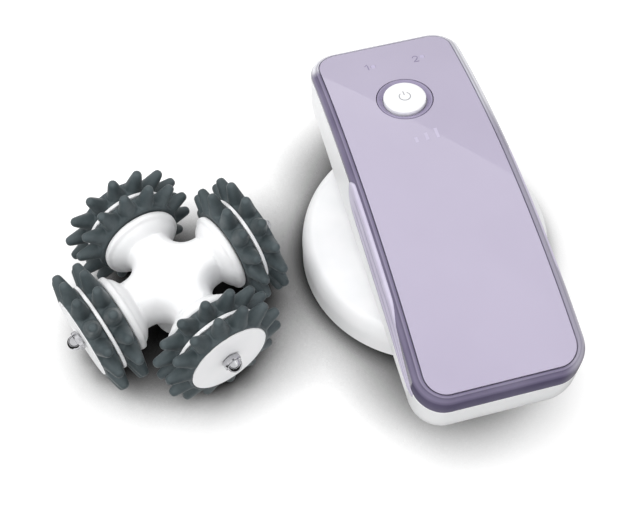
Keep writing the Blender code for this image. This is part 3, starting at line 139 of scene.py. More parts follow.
# Small forms. A tool that cuts stands out of the surface by its reach.
TOOL_REACH = 0.003
JACK_BORE_RADIUS = 0.0041
JACK_PLACE = (0, 0.0320, -0.0131)
JACK_DROP = 0.0047
GRIP_END_RADIUS = 0.0042
GRIP_GROOVES = (0.30, 0.66)
GRIP_GROOVE_WIDTH = 0.05
GRIP_GROOVE_DEPTH = 0.0005
GRIP_GROOVE_RISE = (-0.10, 0.0)
GRIP_GROOVE_FALL = (0.76, 0.86)
GRIP_EDGE_WIDTH = 0.0006
GRIP_EDGE_DEPTH = 0.00022
RIM_GROOVE_SHARE = 0.52
RIM_GROOVE_WIDTH = 0.07
RIM_GROOVE_DEPTH = 0.00016
BUTTON_EDGE = 0.0005
BEZEL_BORE_GAP = 0.00032
BEZEL_LIP_DEPTH = 0.0040
BEZEL_FLANGE_ROOM = 0.0012
MARK_PROUD = 0.00003
MARK_SUNK = 0.0002
POWER_MARK_RADIUS = 0.0023
POWER_MARK_HALF_LINE = 0.00019
NUMERAL_HEIGHT = 0.0036
NUMERAL_LINE = 0.00042
NUMERAL_PLACES = ((-0.0092, 0.0621), (0.0117, 0.0613))
LEVEL_BARS = ((-0.0022, 0.0163, 0.0026), (0.0022, 0.0170, 0.0038), (0.0066, 0.0177, 0.0050))
LEVEL_BAR_WIDTH = 0.0013

# How finely the pieces are made
CORNER_STEPS = 14
SIDE_STEPS = 72
ROUND_STEPS = 12
FINE_TURN = 144
SHARP_DEGREES = 32
HUB_VOXEL = 0.00042
RING_VOXEL = 0.00040


def linear(red, green, blue):
    """A colour as linear light, from the values from 0 to 255 that it looks like."""
    shares = [value / 255 for value in (red, green, blue)]
    return tuple(s / 12.92 if s <= 0.04045 else ((s + 0.055) / 1.055) ** 2.4 for s in shares) + (1.0,)


# Mesh helpers


def shaded(mesh, sharp=SHARP_DEGREES):
    mesh.shade_smooth()
    mesh.set_sharp_from_angle(angle=radians(sharp))
    return mesh


def mesh_from(bm, sharp=SHARP_DEGREES):
    bmesh.ops.recalc_face_normals(bm, faces=bm.faces[:])
    mesh = bpy.data.meshes.new("mesh")
    bm.to_mesh(mesh)
    bm.free()
    return shaded(mesh, sharp)


def add_object(name, mesh):
    obj = bpy.data.objects.new(name, mesh)
    bpy.context.scene.collection.objects.link(obj)
    return obj


def settled(obj):
    """The mesh that an object's modifiers give, with the object and its tools removed."""
    bpy.context.view_layer.update()
    tools = {step.object for step in obj.modifiers if step.type == "BOOLEAN"}
    mesh = bpy.data.meshes.new_from_object(obj.evaluated_get(bpy.context.evaluated_depsgraph_get()))
    for old in [obj, *tools]:
        bpy.data.objects.remove(old, do_unlink=True)
    return mesh


def cut(mesh, tools):
    """A mesh with other meshes cut out of it."""
    obj = add_object("cut", mesh)
    for tool in tools:
        step = obj.modifiers.new("cut", "BOOLEAN")
        step.operation = "DIFFERENCE"
        step.solver = "EXACT"
        step.object = add_object("tool", tool)
    return shaded(settled(obj))


def one_skin(bm, voxel, rounds):
    """Overlapping solids as one relaxed skin, as in a moulding."""
    obj = add_object("one_skin", mesh_from(bm))
    remesh = obj.modifiers.new("one_skin", "REMESH")
    remesh.mode = "VOXEL"
    remesh.voxel_size = voxel
    relax = obj.modifiers.new("relax", "SMOOTH")
    relax.factor = 0.5
    relax.iterations = rounds
    mesh = settled(obj)
    mesh.shade_smooth()
    return mesh


def softened(points, reach, steps=4):
    """A line with its inner corners rounded. Reach is how far from a corner its round starts."""
    line = [Vector(point) for point in points]
    result = [points[0]]
    for before, here, after in zip(line, line[1:], line[2:]):
        start = here.lerp(before, min(0.45, reach / (before - here).length))
        end = here.lerp(after, min(0.45, reach / (after - here).length))
        for step in range(steps + 1):
            share = step / steps
            result.append(tuple(start.lerp(here, share).lerp(here.lerp(end, share), share)))
    return result + [points[-1]]


def lathe(profile, steps, tube=False, reach=None):
    """Turns a profile of (radius, height) about Z. Reach limits the radius at an angle."""
    bm = bmesh.new()
    rings = []
    for radius, height in profile:
        if radius == 0:
            rings.append([bm.verts.new((0, 0, height))])
            continue
        points = []
        for step in range(steps):
            angle = 2 * pi * step / steps
            far = min(radius, reach(angle)) if reach else radius
            points.append(bm.verts.new((far * cos(angle), far * sin(angle), height)))
        rings.append(points)
    pairs = list(zip(rings, rings[1:]))
    if tube:
        pairs.append((rings[-1], rings[0]))
    for first, second in pairs:
        for step in range(steps):
            after = (step + 1) % steps
            corners = [first[step % len(first)], first[after % len(first)]]
            corners += [second[after % len(second)], second[step % len(second)]]
            bm.faces.new(list(dict.fromkeys(corners)))
    return bm


def turned(profile, steps, tube=False, place=None, sharp=SHARP_DEGREES, reach=None):
    mesh = mesh_from(lathe(profile, steps, tube, reach), sharp)
    if place:
        mesh.transform(place)
    return mesh


def bridge(bm, levels):
    """Joins closed loops of like points, each to the next."""
    for lower, upper in zip(levels, levels[1:]):
        for step in range(len(lower)):
            after = (step + 1) % len(lower)
            bm.faces.new((lower[step], lower[after], upper[after], upper[step]))


def quarter_round(steps):
    """Sines and cosines of even steps over a quarter turn."""
    angles = [pi / 2 * step / steps for step in range(steps + 1)]
    return [(sin(angle), cos(angle)) for angle in angles]


def smooth_step(start, end, value):
    share = min(1.0, max(0.0, (value - start) / (end - start)))
    return share * share * (3 - 2 * share)


# Handle form


def arch(y):
    return CROWN_HEIGHT - ARCH_RADIUS + sqrt(ARCH_RADIUS**2 - (y - CENTRE_Y) ** 2)


def arch_normal(y):
    lean = (y - CENTRE_Y) / ARCH_RADIUS
    return Vector((0, lean, sqrt(1 - lean**2)))


def near_share(y):
    return (CENTRE_Y - y) / HALF_LENGTH


def parting_drop(y):
    share = smooth_step(*BAND_RAMP_SHARES, near_share(y))
    return SIDE_BAND_DROP + (END_BAND_DROP - SIDE_BAND_DROP) * share


def plan_points(inset_x, inset_y, radius):
    """A rounded rectangle as (x, y), clockwise from the middle of the far end."""
    half_x = HALF_WIDTH - inset_x
    half_y = HALF_LENGTH - inset_y
    corner_x = half_x - radius
    corner_y = half_y - radius
    right = [(0, half_y)]
    for step in range(CORNER_STEPS + 1):
        angle = pi / 2 * (1 - step / CORNER_STEPS)
        right.append((corner_x + radius * cos(angle), corner_y + radius * sin(angle)))
    for step in range(1, SIDE_STEPS):
        right.append((half_x, corner_y * (1 - 2 * step / SIDE_STEPS)))
    for step in range(CORNER_STEPS + 1):
        angle = -pi / 2 * step / CORNER_STEPS
        right.append((corner_x + radius * cos(angle), radius * sin(angle) - corner_y))
    right.append((0, -half_y))
    left = [(-x, y) for x, y in reversed(right[1:-1])]
    return [(x, y + CENTRE_Y) for x, y in right + left]


def ring(height, inset_x=0.0, inset_y=None, radius=None, draw_in=0.0):
    """Points round the handle at a height. Draw_in moves the near end in, less towards the middle."""
    inset_y = inset_x if inset_y is None else inset_y
    if radius is None:
        radius = max(CORNER_RADIUS - min(inset_x, inset_y), CORNER_RADIUS / 4)
    level = height if callable(height) else (lambda y: height)
    points = plan_points(inset_x, inset_y, radius)
    points = [(x, y + draw_in * max(0.0, near_share(y)) ** 3) for x, y in points]
    return [(x, y, level(y)) for x, y in points]


def stacked(rings):
    """A solid through rings of like points, closed by strips across its first and last ring."""
    bm = bmesh.new()
    levels = [[bm.verts.new(point) for point in points] for points in rings]
    bridge(bm, levels)
    for points in (levels[0], levels[-1]):
        count = len(points)
        middle = count // 2
        bm.faces.new((points[0], points[1], points[2], points[-2], points[-1]))
        for step in range(2, middle - 2):
            far = count - step
            bm.faces.new((points[step], points[step + 1], points[far - 1], points[far]))
        bm.faces.new(points[middle - 2 : middle + 3])
    return mesh_from(bm)


def below_arch(drop):
    return lambda y: arch(y) - drop


def hull_rings(wall, floor):
    rings = []
    for sine, cosine in quarter_round(ROUND_STEPS):
        side = wall + (HULL_ROUND_SIDE - wall) * (1 - sine)
        end = wall + (HULL_ROUND_END - wall) * (1 - sine)
        height = CASING_BASE + floor + (HULL_ROUND_HEIGHT - floor) * (1 - cosine)
        rings.append(ring(height, side, end))
    return rings


def rim_inset_share(drop_share):
    return 1 - (1 - (1 - drop_share) ** RIM_POWER) ** (1 / RIM_POWER)


def rim_ring(height, share):
    """A ring part of the way from the outer wall to the panel."""
    radius = CORNER_RADIUS + (PANEL_CORNER_RADIUS - CORNER_RADIUS) * share
    return ring(height, RIM_WIDTH_SIDE * share, RIM_WIDTH_END * share, radius, RIM_EXTRA_NEAR * share)


def panel_ring(drop, grow=0.0):
    radius = PANEL_CORNER_RADIUS + grow
    return ring(below_arch(drop), RIM_WIDTH_SIDE - grow, RIM_WIDTH_END - grow, radius, RIM_EXTRA_NEAR)


def half_width(y, inset):
    """Half of the handle's width at a place along it, on a surface set in by inset."""
    past = max(0.0, abs(y - CENTRE_Y) - (HALF_LENGTH - CORNER_RADIUS))
    radius = CORNER_RADIUS - inset
    return HALF_WIDTH - CORNER_RADIUS + sqrt(radius**2 - past**2)


def surface_inset(y, z):
    """How far the handle's side is set in at a height: at the rounded hull and over the rim."""
    rise = (z - CASING_BASE) / HULL_ROUND_HEIGHT
    if rise < 1:
        return HULL_ROUND_SIDE * (1 - sqrt(1 - (1 - rise) ** 2))
    drop_share = (arch(y) - z) / RIM_DROP
    return RIM_WIDTH_SIDE * rim_inset_share(drop_share) if drop_share < 1 else 0.0


# Side grips


def curve_value(points, x):
    """A smooth line through points of rising x."""
    spot = max(step for step in range(len(points) - 1) if points[step][0] <= max(x, points[0][0]))
    around = [points[0], *points, points[-1]][spot : spot + 4]
    slopes = [(last[1] - first[1]) / (last[0] - first[0]) for first, last in zip(around, around[2:])]
    (x0, y0), (x1, y1) = points[spot : spot + 2]
    span = x1 - x0
    share = min(1.0, (x - x0) / span)
    back = 1 - share
    value = (1 + 2 * share) * back**2 * y0 + share**2 * (3 - 2 * share) * y1
    return value + span * (share * back**2 * slopes[0] - share**2 * back * slopes[1])


def grip_edges(share):
    """Lower and upper height of the grip at a share of the half length towards the near end."""
    y = CENTRE_Y - HALF_LENGTH * share
    fall = smooth_step(*GRIP_FALL_SHARES, share)
    upper = arch(y) - GRIP_TOP_DROP * (1 - fall) - (parting_drop(y) + GAP) * fall
    lower = CASING_BASE + (arch(y) - CASING_BASE) * curve_value(GRIP_LOWER_SHARES, share)
    from_start = (share - GRIP_START_SHARE) * HALF_LENGTH
    past = max(0.0, GRIP_END_RADIUS - from_start)
    squeeze = GRIP_END_RADIUS - sqrt(GRIP_END_RADIUS**2 - past**2)
    return y, lower + squeeze, upper - squeeze


def grip_shares(steps):
    """Places along the grip, closer together at its rounded start and its tip."""
    span = GRIP_TIP_SHARE - GRIP_START_SHARE
    turns = [pi * step / steps for step in range(steps + 1)]
    return [GRIP_START_SHARE + span * (1 - cos(turn)) / 2 for turn in turns]


def grip_pocket(side):
    """The tool for a grip's pocket: the grip's outline, a gap larger all round."""
    edges = [list(grip_edges(share)) for share in grip_shares(60)]
    edges[0][0] += GAP
    edges[-1][0] -= GAP
    outline = [(y, high + GAP) for y, low, high in edges]
    outline += [(y, low - GAP) for y, low, high in reversed(edges)]
    bm = bmesh.new()
    ends = (HALF_WIDTH - GRIP_DEPTH - GAP, HALF_WIDTH + TOOL_REACH)
    levels = [[bm.verts.new((side * x, y, z)) for y, z in outline] for x in ends]
    bridge(bm, levels)
    for level in levels:
        bm.faces.new(level)
    return mesh_from(bm)


def groove_at(share, part):
    """How deep the groove is at a place on the grip, as a share, and how much painted shade it gets
    there, in the grooves and along the grip's lower edge.
    """
    deep = smooth_step(*GRIP_GROOVE_RISE, share) * (1 - smooth_step(*GRIP_GROOVE_FALL, share))
    offsets = [(part - middle) / GRIP_GROOVE_WIDTH for middle in GRIP_GROOVES]
    groove = deep * sum(exp(-(offset**2)) for offset in offsets)
    return groove, max(groove, 1 - smooth_step(0.03, 0.14, part) if deep else 0)


def make_grip(side):
    """A soft strip that follows the handle's side, with two grooves pressed along it."""
    across = 40
    columns = []
    bm = bmesh.new()
    # Painted shade for the grooves and the lower edge, kept in the groove layer.
    shade = bm.verts.layers.float.new("groove")
    for share in grip_shares(110):
        y, low, high = grip_edges(share)
        outer = []
        inner = []
        for step in range(across + 1):
            part = step / across
            z = low + (high - low) * part
            edge = min(part, 1 - part) * (high - low)
            # The second value is the painted shade.
            groove, dark = groove_at(share, part)
            inset = surface_inset(y, z) + GRIP_EDGE_DEPTH * (1 - smooth_step(0, GRIP_EDGE_WIDTH, edge))
            inset += GRIP_GROOVE_DEPTH * groove
            outer.append(bm.verts.new((side * half_width(y, inset), y, z)))
            outer[-1][shade] = dark
            inner.append(bm.verts.new((side * (HALF_WIDTH - GRIP_DEPTH), y, z)))
        columns.append((outer, inner))
    for (outer, inner), (outer_next, inner_next) in zip(columns, columns[1:]):
        for step in range(across):
            bm.faces.new((outer[step], outer[step + 1], outer_next[step + 1], outer_next[step]))
            bm.faces.new((inner[step], inner_next[step], inner_next[step + 1], inner[step + 1]))
        for step in (0, across):
            bm.faces.new((outer[step], outer_next[step], inner_next[step], inner[step]))
    for outer, inner in (columns[0], columns[-1]):
        for step in range(across):
            bm.faces.new((outer[step], outer[step + 1], inner[step + 1], inner[step]))
    return mesh_from(bm)


# Handle shells


def button_place():
    slope = asin((BUTTON_Y - CENTRE_Y) / ARCH_RADIUS)
    return Matrix.Translation((0, BUTTON_Y, arch(BUTTON_Y))) @ Matrix.Rotation(-slope, 4, "X")


def plug(radius, low, high, steps):
    return lathe([(0, high), (radius, high), (radius, low), (0, low)], steps)


def holes_under_button():
    """One tool for the bezel's opening and the two light holes."""
    bm = plug(BEZEL_RADIUS + GAP, -0.0072, TOOL_REACH, 96)
    for x in LIGHT_XS:
        hole = plug(LIGHT_RADIUS + 0.00005, -0.0085, TOOL_REACH, 32)
        bmesh.ops.translate(hole, vec=(x, LIGHT_AHEAD, 0), verts=hole.verts)
        spare = bpy.data.meshes.new("spare")
        hole.to_mesh(spare)
        hole.free()
        bm.from_mesh(spare)
    bmesh.ops.transform(bm, matrix=button_place(), verts=bm.verts)
    bmesh.ops.triangulate(bm, faces=bm.faces[:])
    return mesh_from(bm)


def jack_bore():
    height = (button_place() @ Vector(JACK_PLACE)).z - JACK_DROP
    place = Matrix.Translation((0, CENTRE_Y + HALF_LENGTH - CASING_WALL, height))
    mesh = mesh_from(plug(JACK_BORE_RADIUS, -TOOL_REACH, 0.007, 48))
    mesh.transform(place @ Matrix.Rotation(-pi / 2, 4, "X"))
    return mesh


def make_casing():
    top = lambda y: arch(y) - parting_drop(y) - GAP / 2
    lip = lambda y: top(y) - 0.0002
    rings = hull_rings(0, 0) + [ring(lip), ring(top, 0.0002), ring(top, CASING_WALL)]
    rings += hull_rings(CASING_WALL, CASING_FLOOR)[::-1]
    return cut(stacked(rings), [jack_bore(), grip_pocket(-1), grip_pocket(1)])


def make_cover():
    """The tinted shell: a seat for the panel, the rounded rim and the band below it."""
    seat = PANEL_THICKNESS + GAP
    skirt = lambda y: arch(y) - parting_drop(y) + GAP / 2
    rings = [panel_ring(seat, GAP), panel_ring(0.00030, GAP), panel_ring(0.00004, GAP + 0.00012)]
    for step in range(1, ROUND_STEPS + 5):
        drop_share = (step / (ROUND_STEPS + 4)) ** 1.8
        share = rim_inset_share(drop_share)
        from_groove = (share - RIM_GROOVE_SHARE) / RIM_GROOVE_WIDTH
        groove = RIM_GROOVE_DEPTH * exp(-(from_groove**2))
        if 0.01 < share < 0.78:
            rings.append(rim_ring(below_arch(RIM_DROP * drop_share + groove), share))
    for step in range(5):
        share = step / 6
        band = lambda y, share=share: arch(y) - RIM_DROP - (parting_drop(y) - RIM_DROP) * share
        rings.append(ring(band))
    rings += [ring(lambda y: skirt(y) + 0.0002), ring(skirt, 0.0002), ring(skirt, COVER_SIDE_WALL)]
    rings.append(ring(below_arch(seat + COVER_PLATE), COVER_SIDE_WALL))
    mesh = cut(stacked(rings), [holes_under_button(), grip_pocket(-1), grip_pocket(1)])
    mark_rim(mesh)
    return mesh


def rim_place(x, y):
    """How far across the rim a place is, from its outer edge, and how much paler painted reflection it
    gets, as it faces from the near left corner and nears the far end, both as shares."""
    off_x = abs(x) - (HALF_WIDTH - CORNER_RADIUS)
    off_y = abs(y - CENTRE_Y) - (HALF_LENGTH - CORNER_RADIUS)
    outside = hypot(max(off_x, 0.0), max(off_y, 0.0))
    inside = CORNER_RADIUS - outside - min(max(off_x, off_y), 0.0)
    turn = atan2(max(off_y, 0.0), max(off_x, 1e-9)) / (pi / 2)
    end_width = RIM_WIDTH_END + (RIM_EXTRA_NEAR if y < CENTRE_Y else 0)
    width = RIM_WIDTH_SIDE + (end_width - RIM_WIDTH_SIDE) * turn
    quarter = turn * pi / 2
    # A painted reflection: paler on the right and far sides and near the far end.
    facing = 0.8 * copysign(cos(quarter), x)
    facing += 0.6 * copysign(sin(quarter), y - CENTRE_Y)
    facing += 0.7 * smooth_step(0.060, 0.070, y)
    return inside / width, smooth_step(-0.60, 0.0, facing)


def mark_rim(mesh):
    """Stores for each point how far across the rim it is, how far down the band, how much paler painted
    reflection it gets, and how much of the brightest painted highlight it gets towards the far end."""
    names = ("across", "down", "sheen_side", "clear")
    for name in names:
        mesh.attributes.new(name, "FLOAT", "POINT")
    layers = [mesh.attributes[name] for name in names]
    for spot, vertex in enumerate(mesh.vertices):
        x, y, z = vertex.co
        across, sheen_side = rim_place(x, y)
        drop = arch(min(max(y, CENTRE_Y - HALF_LENGTH), CENTRE_Y + HALF_LENGTH)) - z
        down = (drop - RIM_DROP) / (parting_drop(y) - RIM_DROP)
        for layer, value in zip(layers, (across, down, sheen_side, smooth_step(0.010, 0.036, y))):
            layer.data[spot].value = value


def make_panel():
    """The panel. Its upper face has the arch's own normals, so that its gloss runs without steps."""
    rings = [panel_ring(PANEL_THICKNESS), panel_ring(0.00022), panel_ring(0.00006, -0.00006)]
    rings.append(panel_ring(0, -0.00022))
    mesh = cut(stacked(rings), [holes_under_button()])
    normals = []
    for face in mesh.polygons:
        for corner in face.loop_indices:
            true = arch_normal(mesh.vertices[mesh.loops[corner].vertex_index].co.y)
            normals.append(true if face.normal.dot(true) > 0.98 else face.normal)
    mesh.normals_split_custom_set(normals)
    return mesh


# Button, bezel and printed marks


def make_bezel():
    bore = BUTTON_RADIUS + BEZEL_BORE_GAP
    room = bore + BEZEL_FLANGE_ROOM
    outline = [(BEZEL_RADIUS, -BEZEL_DEPTH), (BEZEL_RADIUS, -0.0002), (BEZEL_RADIUS - 0.0003, 0)]
    outline += [(BEZEL_RADIUS - 0.0007, -0.00004), (bore + 0.0005, -BEZEL_SINK * 0.86)]
    outline += [(bore, -BEZEL_SINK), (bore, -BEZEL_LIP_DEPTH)]
    outline += [(room, -BEZEL_LIP_DEPTH), (room, -BEZEL_DEPTH)]
    return turned(softened(outline, 0.00014, 2), FINE_TURN, True, button_place())


def make_button():
    top = -BUTTON_SINK
    bottom = top - BUTTON_SKIRT
    crown = BUTTON_RADIUS - BUTTON_EDGE
    flange = BUTTON_RADIUS + BUTTON_FLANGE
    outline = []
    for step in range(15):
        share = step / 14
        outline.append((crown * share, top + BUTTON_DOME * (1 - share**2)))
    for sine, cosine in quarter_round(6)[1:]:
        outline.append((crown + BUTTON_EDGE * sine, top - BUTTON_EDGE * (1 - cosine)))
    outline += [(BUTTON_RADIUS, bottom + 0.0010), (flange, bottom + 0.0010), (flange, bottom)]
    outline += [(0.0018, bottom), (0.0018, bottom - 0.0007), (0, bottom - 0.0007)]
    return turned(outline, FINE_TURN, place=button_place())


def button_level(x, y):
    return -BUTTON_SINK + BUTTON_DOME * (1 - (x * x + y * y) / (BUTTON_RADIUS - BUTTON_EDGE) ** 2)


def flat_mark(strips, level):
    """Thin solid marks from strips of paired (x, y) points, at the height that level(x, y) gives."""
    bm = bmesh.new()
    for strip in strips:
        rows = []
        for pair in strip:
            row = []
            for x, y in pair:
                base = level(x, y)
                row.append([bm.verts.new((x, y, z)) for z in (base + MARK_PROUD, base - MARK_SUNK)])
            rows.append(row)
        for (a, b), (c, d) in zip(rows, rows[1:]):
            bm.faces.new((a[0], b[0], d[0], c[0]))
            bm.faces.new((a[1], c[1], d[1], b[1]))
            bm.faces.new((a[0], c[0], c[1], a[1]))
            bm.faces.new((b[0], b[1], d[1], d[0]))
        for a, b in (rows[0], rows[-1]):
            bm.faces.new((a[0], b[0], b[1], a[1]))
    return mesh_from(bm)


def make_power_mark():
    """A plain power symbol: an open ring and a bar."""
    sides = (-POWER_MARK_HALF_LINE, POWER_MARK_HALF_LINE)
    arc = []
    for step in range(49):
        angle = radians(125 + 290 * step / 48)
        radii = [POWER_MARK_RADIUS + side for side in sides]
        arc.append([(radius * cos(angle), radius * sin(angle)) for radius in radii])
    bar = [[(side, y) for side in sides] for y in (0.0006, 0.0016, 0.0030)]
    mesh = flat_mark([arc, bar], button_level)
    mesh.transform(button_place())
    return mesh


def stroke(points, width):
    """A bent line as a strip of paired points."""
    line = [Vector(point) for point in points]
    strip = []
    for spot, here in enumerate(line):
        before = line[max(0, spot - 1)]
        after = line[min(len(line) - 1, spot + 1)]
        along = (after - before).normalized()
        side = Vector((-along.y, along.x)) * width / 2
        strip.append([tuple(here - side), tuple(here + side)])
    return strip


def printed_lines(lines, width):
    """Bent lines of one width, printed on the panel."""
    return flat_mark([stroke(points, width) for points in lines], lambda x, y: arch(y))


def make_numerals():
    """The numerals 1 and 2 by the lights."""
    one = [(-0.30, 0.22), (0.05, 0.50), (0.05, 0.25), (0.05, -0.50)]
    two = [(-0.30, 0.22), (-0.24, 0.40), (-0.05, 0.50), (0.16, 0.46), (0.29, 0.30), (0.27, 0.10)]
    two += [(0.10, -0.12), (-0.14, -0.32), (-0.32, -0.49), (0.0, -0.50), (0.33, -0.50)]
    lines = []
    for shape, (x, y) in zip((one, two), NUMERAL_PLACES):
        lines.append([(x + NUMERAL_HEIGHT * a, y + NUMERAL_HEIGHT * b) for a, b in shape])
    return printed_lines(lines, NUMERAL_LINE)


def make_level_bars():
    """Three plain rising bars below the button."""
    lines = [[(x, y - tall / 2), (x, y), (x, y + tall / 2)] for x, y, tall in LEVEL_BARS]
    return printed_lines(lines, LEVEL_BAR_WIDTH)


# Drive base


def make_housing():
    inner = BASE_RADIUS - BASE_WALL
    ledge = inner - BASE_LEDGE
    outline = [(0, BASE_HEIGHT)]
    for sine, cosine in quarter_round(16):
        radius = BASE_RADIUS - BASE_SHOULDER_WIDTH * (1 - sine)
        outline.append((radius, BASE_HEIGHT - BASE_SHOULDER_DROP * (1 - cosine)))
    outline += [(BASE_RADIUS, 0.0005), (BASE_RADIUS - 0.0005, 0), (inner + 0.0003, 0), (inner, 0.0003)]
    outline += [(inner, PLATE_TOP + GAP), (ledge, PLATE_TOP + GAP), (ledge, BASE_HEIGHT - BASE_WALL)]
    outline += [(0, BASE_HEIGHT - BASE_WALL)]
    return turned(outline, 192)


# Massage head


def outward_place(angle):
    out = Vector((cos(angle), sin(angle), 0))
    up = Vector((0, 0, 1))
    return Matrix((up, out.cross(up), out)).transposed().to_4x4()


def hub_outline(inset):
    """A cross with filleted inner corners, set in everywhere but at the ends of its arms."""
    half = HUB_ARM_HALF_WIDTH - inset
    radius = HUB_FILLET_RADIUS + inset
    centre = half + radius
    corner = [(HUB_ARM_REACH, half)]
    for step in range(17):
        angle = -pi / 2 - pi / 2 * step / 16
        corner.append((centre + radius * cos(angle), centre + radius * sin(angle)))
    corner.append((half, HUB_ARM_REACH))
    points = []
    for quarter in range(4):
        turn = Matrix.Rotation(quarter * pi / 2, 2)
        points += [tuple(turn @ Vector(point)) for point in corner]
    return points


def make_hub():
    """The white star frame."""
    bm = bmesh.new()
    levels = []
    for step in range(21):
        angle = pi / 2 * (step / 10 - 1)
        inset = HUB_ROUND_WIDTH * (1 - cos(angle))
        height = HUB_HALF_HEIGHT * sin(angle)
        levels.append([bm.verts.new((x, y, height)) for x, y in hub_outline(inset)])
    bridge(bm, levels)
    bm.faces.new(levels[0])
    bm.faces.new(levels[-1])
    rim = FLANGE_RADIUS
    face = FLANGE_FACE
    profile = [(0, face), (rim - 0.0005, face), (rim, face - 0.0008), (rim, face - 0.0026)]
    profile += [(rim - 0.0008, face - 0.0032), (rim - 0.0017, face - 0.0033)]
    profile += [(rim - 0.0021, face - 0.0042), (0.0134, 0.0200), (0.0118, 0.0190), (0.0106, 0.0183)]
    profile += [(FLANGE_NECK_RADIUS, 0.0170), (FLANGE_NECK_RADIUS, 0.0100), (0, 0.0100)]
    profile = softened(profile, 0.0007, 3)
    for quarter in range(4):
        bm.from_mesh(turned(profile, 96, place=outward_place(quarter * pi / 2)))
    return one_skin(bm, HUB_VOXEL, 4)


def tooth_profile():
    """A blunt cone with a flared foot, as (radius, reach from the axle)."""
    points = [(0, TOOTH_REACH), (0.00062, 0.02666), (0.00122, 0.02648), (0.00172, 0.0260)]
    points += [(0.00202, 0.0252), (0.00224, 0.0243), (0.00254, 0.0230), (0.00290, 0.0214)]
    points += [(0.00324, 0.0198), (0.00352, 0.0187), (0.00372, 0.0179), (0.00372, 0.0168)]
    return points + [(0, 0.0168)]


def make_ring(start, cap_seat):
    """A soft ring whose blunt teeth grow out of its band."""
    end = start + RING_WIDTH
    middle = (start + end) / 2
    inner = RING_CORE_RADIUS + 0.00012
    outer = RING_RADIUS - 0.0001
    band = [(inner, start), (inner, end)]
    if cap_seat:
        lip = CAP_RADIUS + 0.00012
        band = [(inner, start), (inner, CORE_END), (lip, CORE_END), (lip, end)]
    band += [(RING_RADIUS - 0.0005, end), (outer, end - 0.0005), (RING_RADIUS - 0.0003, middle)]
    band += [(outer, start + 0.0005), (RING_RADIUS - 0.0005, start)]
    bm = lathe(band, 168, True)
    bmesh.ops.recalc_face_normals(bm, faces=bm.faces[:])
    tooth = turned(tooth_profile(), 28)
    raised = Matrix.Translation((0, 0, middle))
    flat = Matrix.Rotation(pi / 2, 4, "Y")
    for step in range(TEETH):
        before = len(bm.verts)
        bm.from_mesh(tooth)
        bm.verts.ensure_lookup_table()
        turn = Matrix.Rotation(2 * pi * step / TEETH, 4, "Z")
        bmesh.ops.transform(bm, matrix=turn @ raised @ flat, verts=bm.verts[before:])
    return one_skin(bm, RING_VOXEL, 5)


def make_core():
    rib_end = SPACER_START + SPACER_WIDTH
    core = RING_CORE_RADIUS
    rib = SPACER_RADIUS
    points = [(AXLE_BORE, CORE_END), (core, CORE_END), (core, rib_end), (rib - 0.0002, rib_end)]
    points += [(rib, rib_end - 0.0002), (rib, SPACER_START + 0.0002), (rib - 0.0002, SPACER_START)]
    points += [(core, SPACER_START), (core, INNER_RING_START)]
    return turned(points + [(AXLE_BORE, INNER_RING_START)], FINE_TURN, True)


def make_cap():
    face = CAP_START + CAP_THICKNESS
    points = [(AXLE_BORE, face - 0.0001), (0.0046, face - 0.0001), (0.0050, face)]
    points += [(CAP_RADIUS - 0.0003, face), (CAP_RADIUS, face - 0.0003), (CAP_RADIUS, CAP_START)]
    points.append((AXLE_BORE, CAP_START))
    return turned(points, FINE_TURN, True)


def make_nut():
    """A chamfered hexagon with a domed end."""
    flat = NUT_FLAT_WIDTH / 2
    corner = NUT_FLAT_WIDTH / sqrt(3)
    hexagon = lambda angle: flat / cos((angle % (pi / 3)) - pi / 6)
    dome = NUT_DOME_RADIUS
    end = NUT_START + NUT_THICKNESS
    centre = end + NUT_DOME_RISE
    points = [(0, NUT_START), (flat * 0.97, NUT_START), (corner, NUT_START + 0.0003)]
    points += [(corner, end - 0.0004), (flat * 0.98, end), (dome + 0.0001, end + 0.00004)]
    points.append((dome, end + 0.0001))
    points += [(dome * cosine, centre + dome * sine) for sine, cosine in quarter_round(12)[:-1]]
    points.append((0, centre + dome))
    return turned(points, 120, sharp=26, reach=hexagon)


# Material helpers


def node(tree, kind, links=None, **settings):
    """A node with settings, and inputs that are numbers, colours or other nodes' outputs."""
    made = tree.nodes.new("ShaderNode" + kind)
    for name, value in settings.items():
        setattr(made, name, value)
    for key, value in (links or {}).items():
        if isinstance(value, bpy.types.NodeSocket):
            tree.links.new(value, made.inputs[key])
        else:
            made.inputs[key].default_value = value
    return made


def new_material(name, **inputs):
    material = bpy.data.materials.new(name)
    material.use_nodes = True
    shader = material.node_tree.nodes["Principled BSDF"]
    for key, value in inputs.items():
        shader.inputs[key.replace("_", " ")].default_value = value
    return material, material.node_tree, shader


def noise(tree, scale, detail=3.0, stretch=(1, 1, 1)):
    place = node(tree, "TexCoord").outputs["Object"]
    scaled = node(tree, "Mapping", {"Vector": place, "Scale": stretch}).outputs["Vector"]
    links = {"Vector": scaled, "Scale": scale, "Detail": detail}
    return node(tree, "TexNoise", links).outputs["Fac"]


def mixed(tree, factor, first, second, **settings):
    """Two colours mixed. A mix node's sockets for colours are inputs 0, 6 and 7 and output 2."""
    links = {0: factor, 6: first, 7: second}
    return node(tree, "Mix", links, data_type="RGBA", **settings).outputs[2]


def spread(tree, value, low, high, start=0.35, end=0.65):
    """A value taken from one range, by default that of noise, to another."""
    links = {"Value": value, "From Min": start, "From Max": end, "To Min": low, "To Max": high}
    return node(tree, "MapRange", links).outputs["Result"]


def stored(tree, name):
    """A value that the mesh keeps for each of its points."""
    return node(tree, "Attribute", attribute_name=name).outputs["Fac"]


def ramp(tree, factor, stops):
    """Colours along a value. A stop is its place and a grey share, or its place and a colour."""
    made = node(tree, "ValToRGB", {"Fac": factor})
    elements = made.color_ramp.elements
    while len(elements) < len(stops):
        elements.new(0.5)
    for element, (place, colour) in zip(elements, stops):
        element.position = place
        element.color = colour if isinstance(colour, tuple) else (colour, colour, colour, 1)
    return made.outputs["Color"]


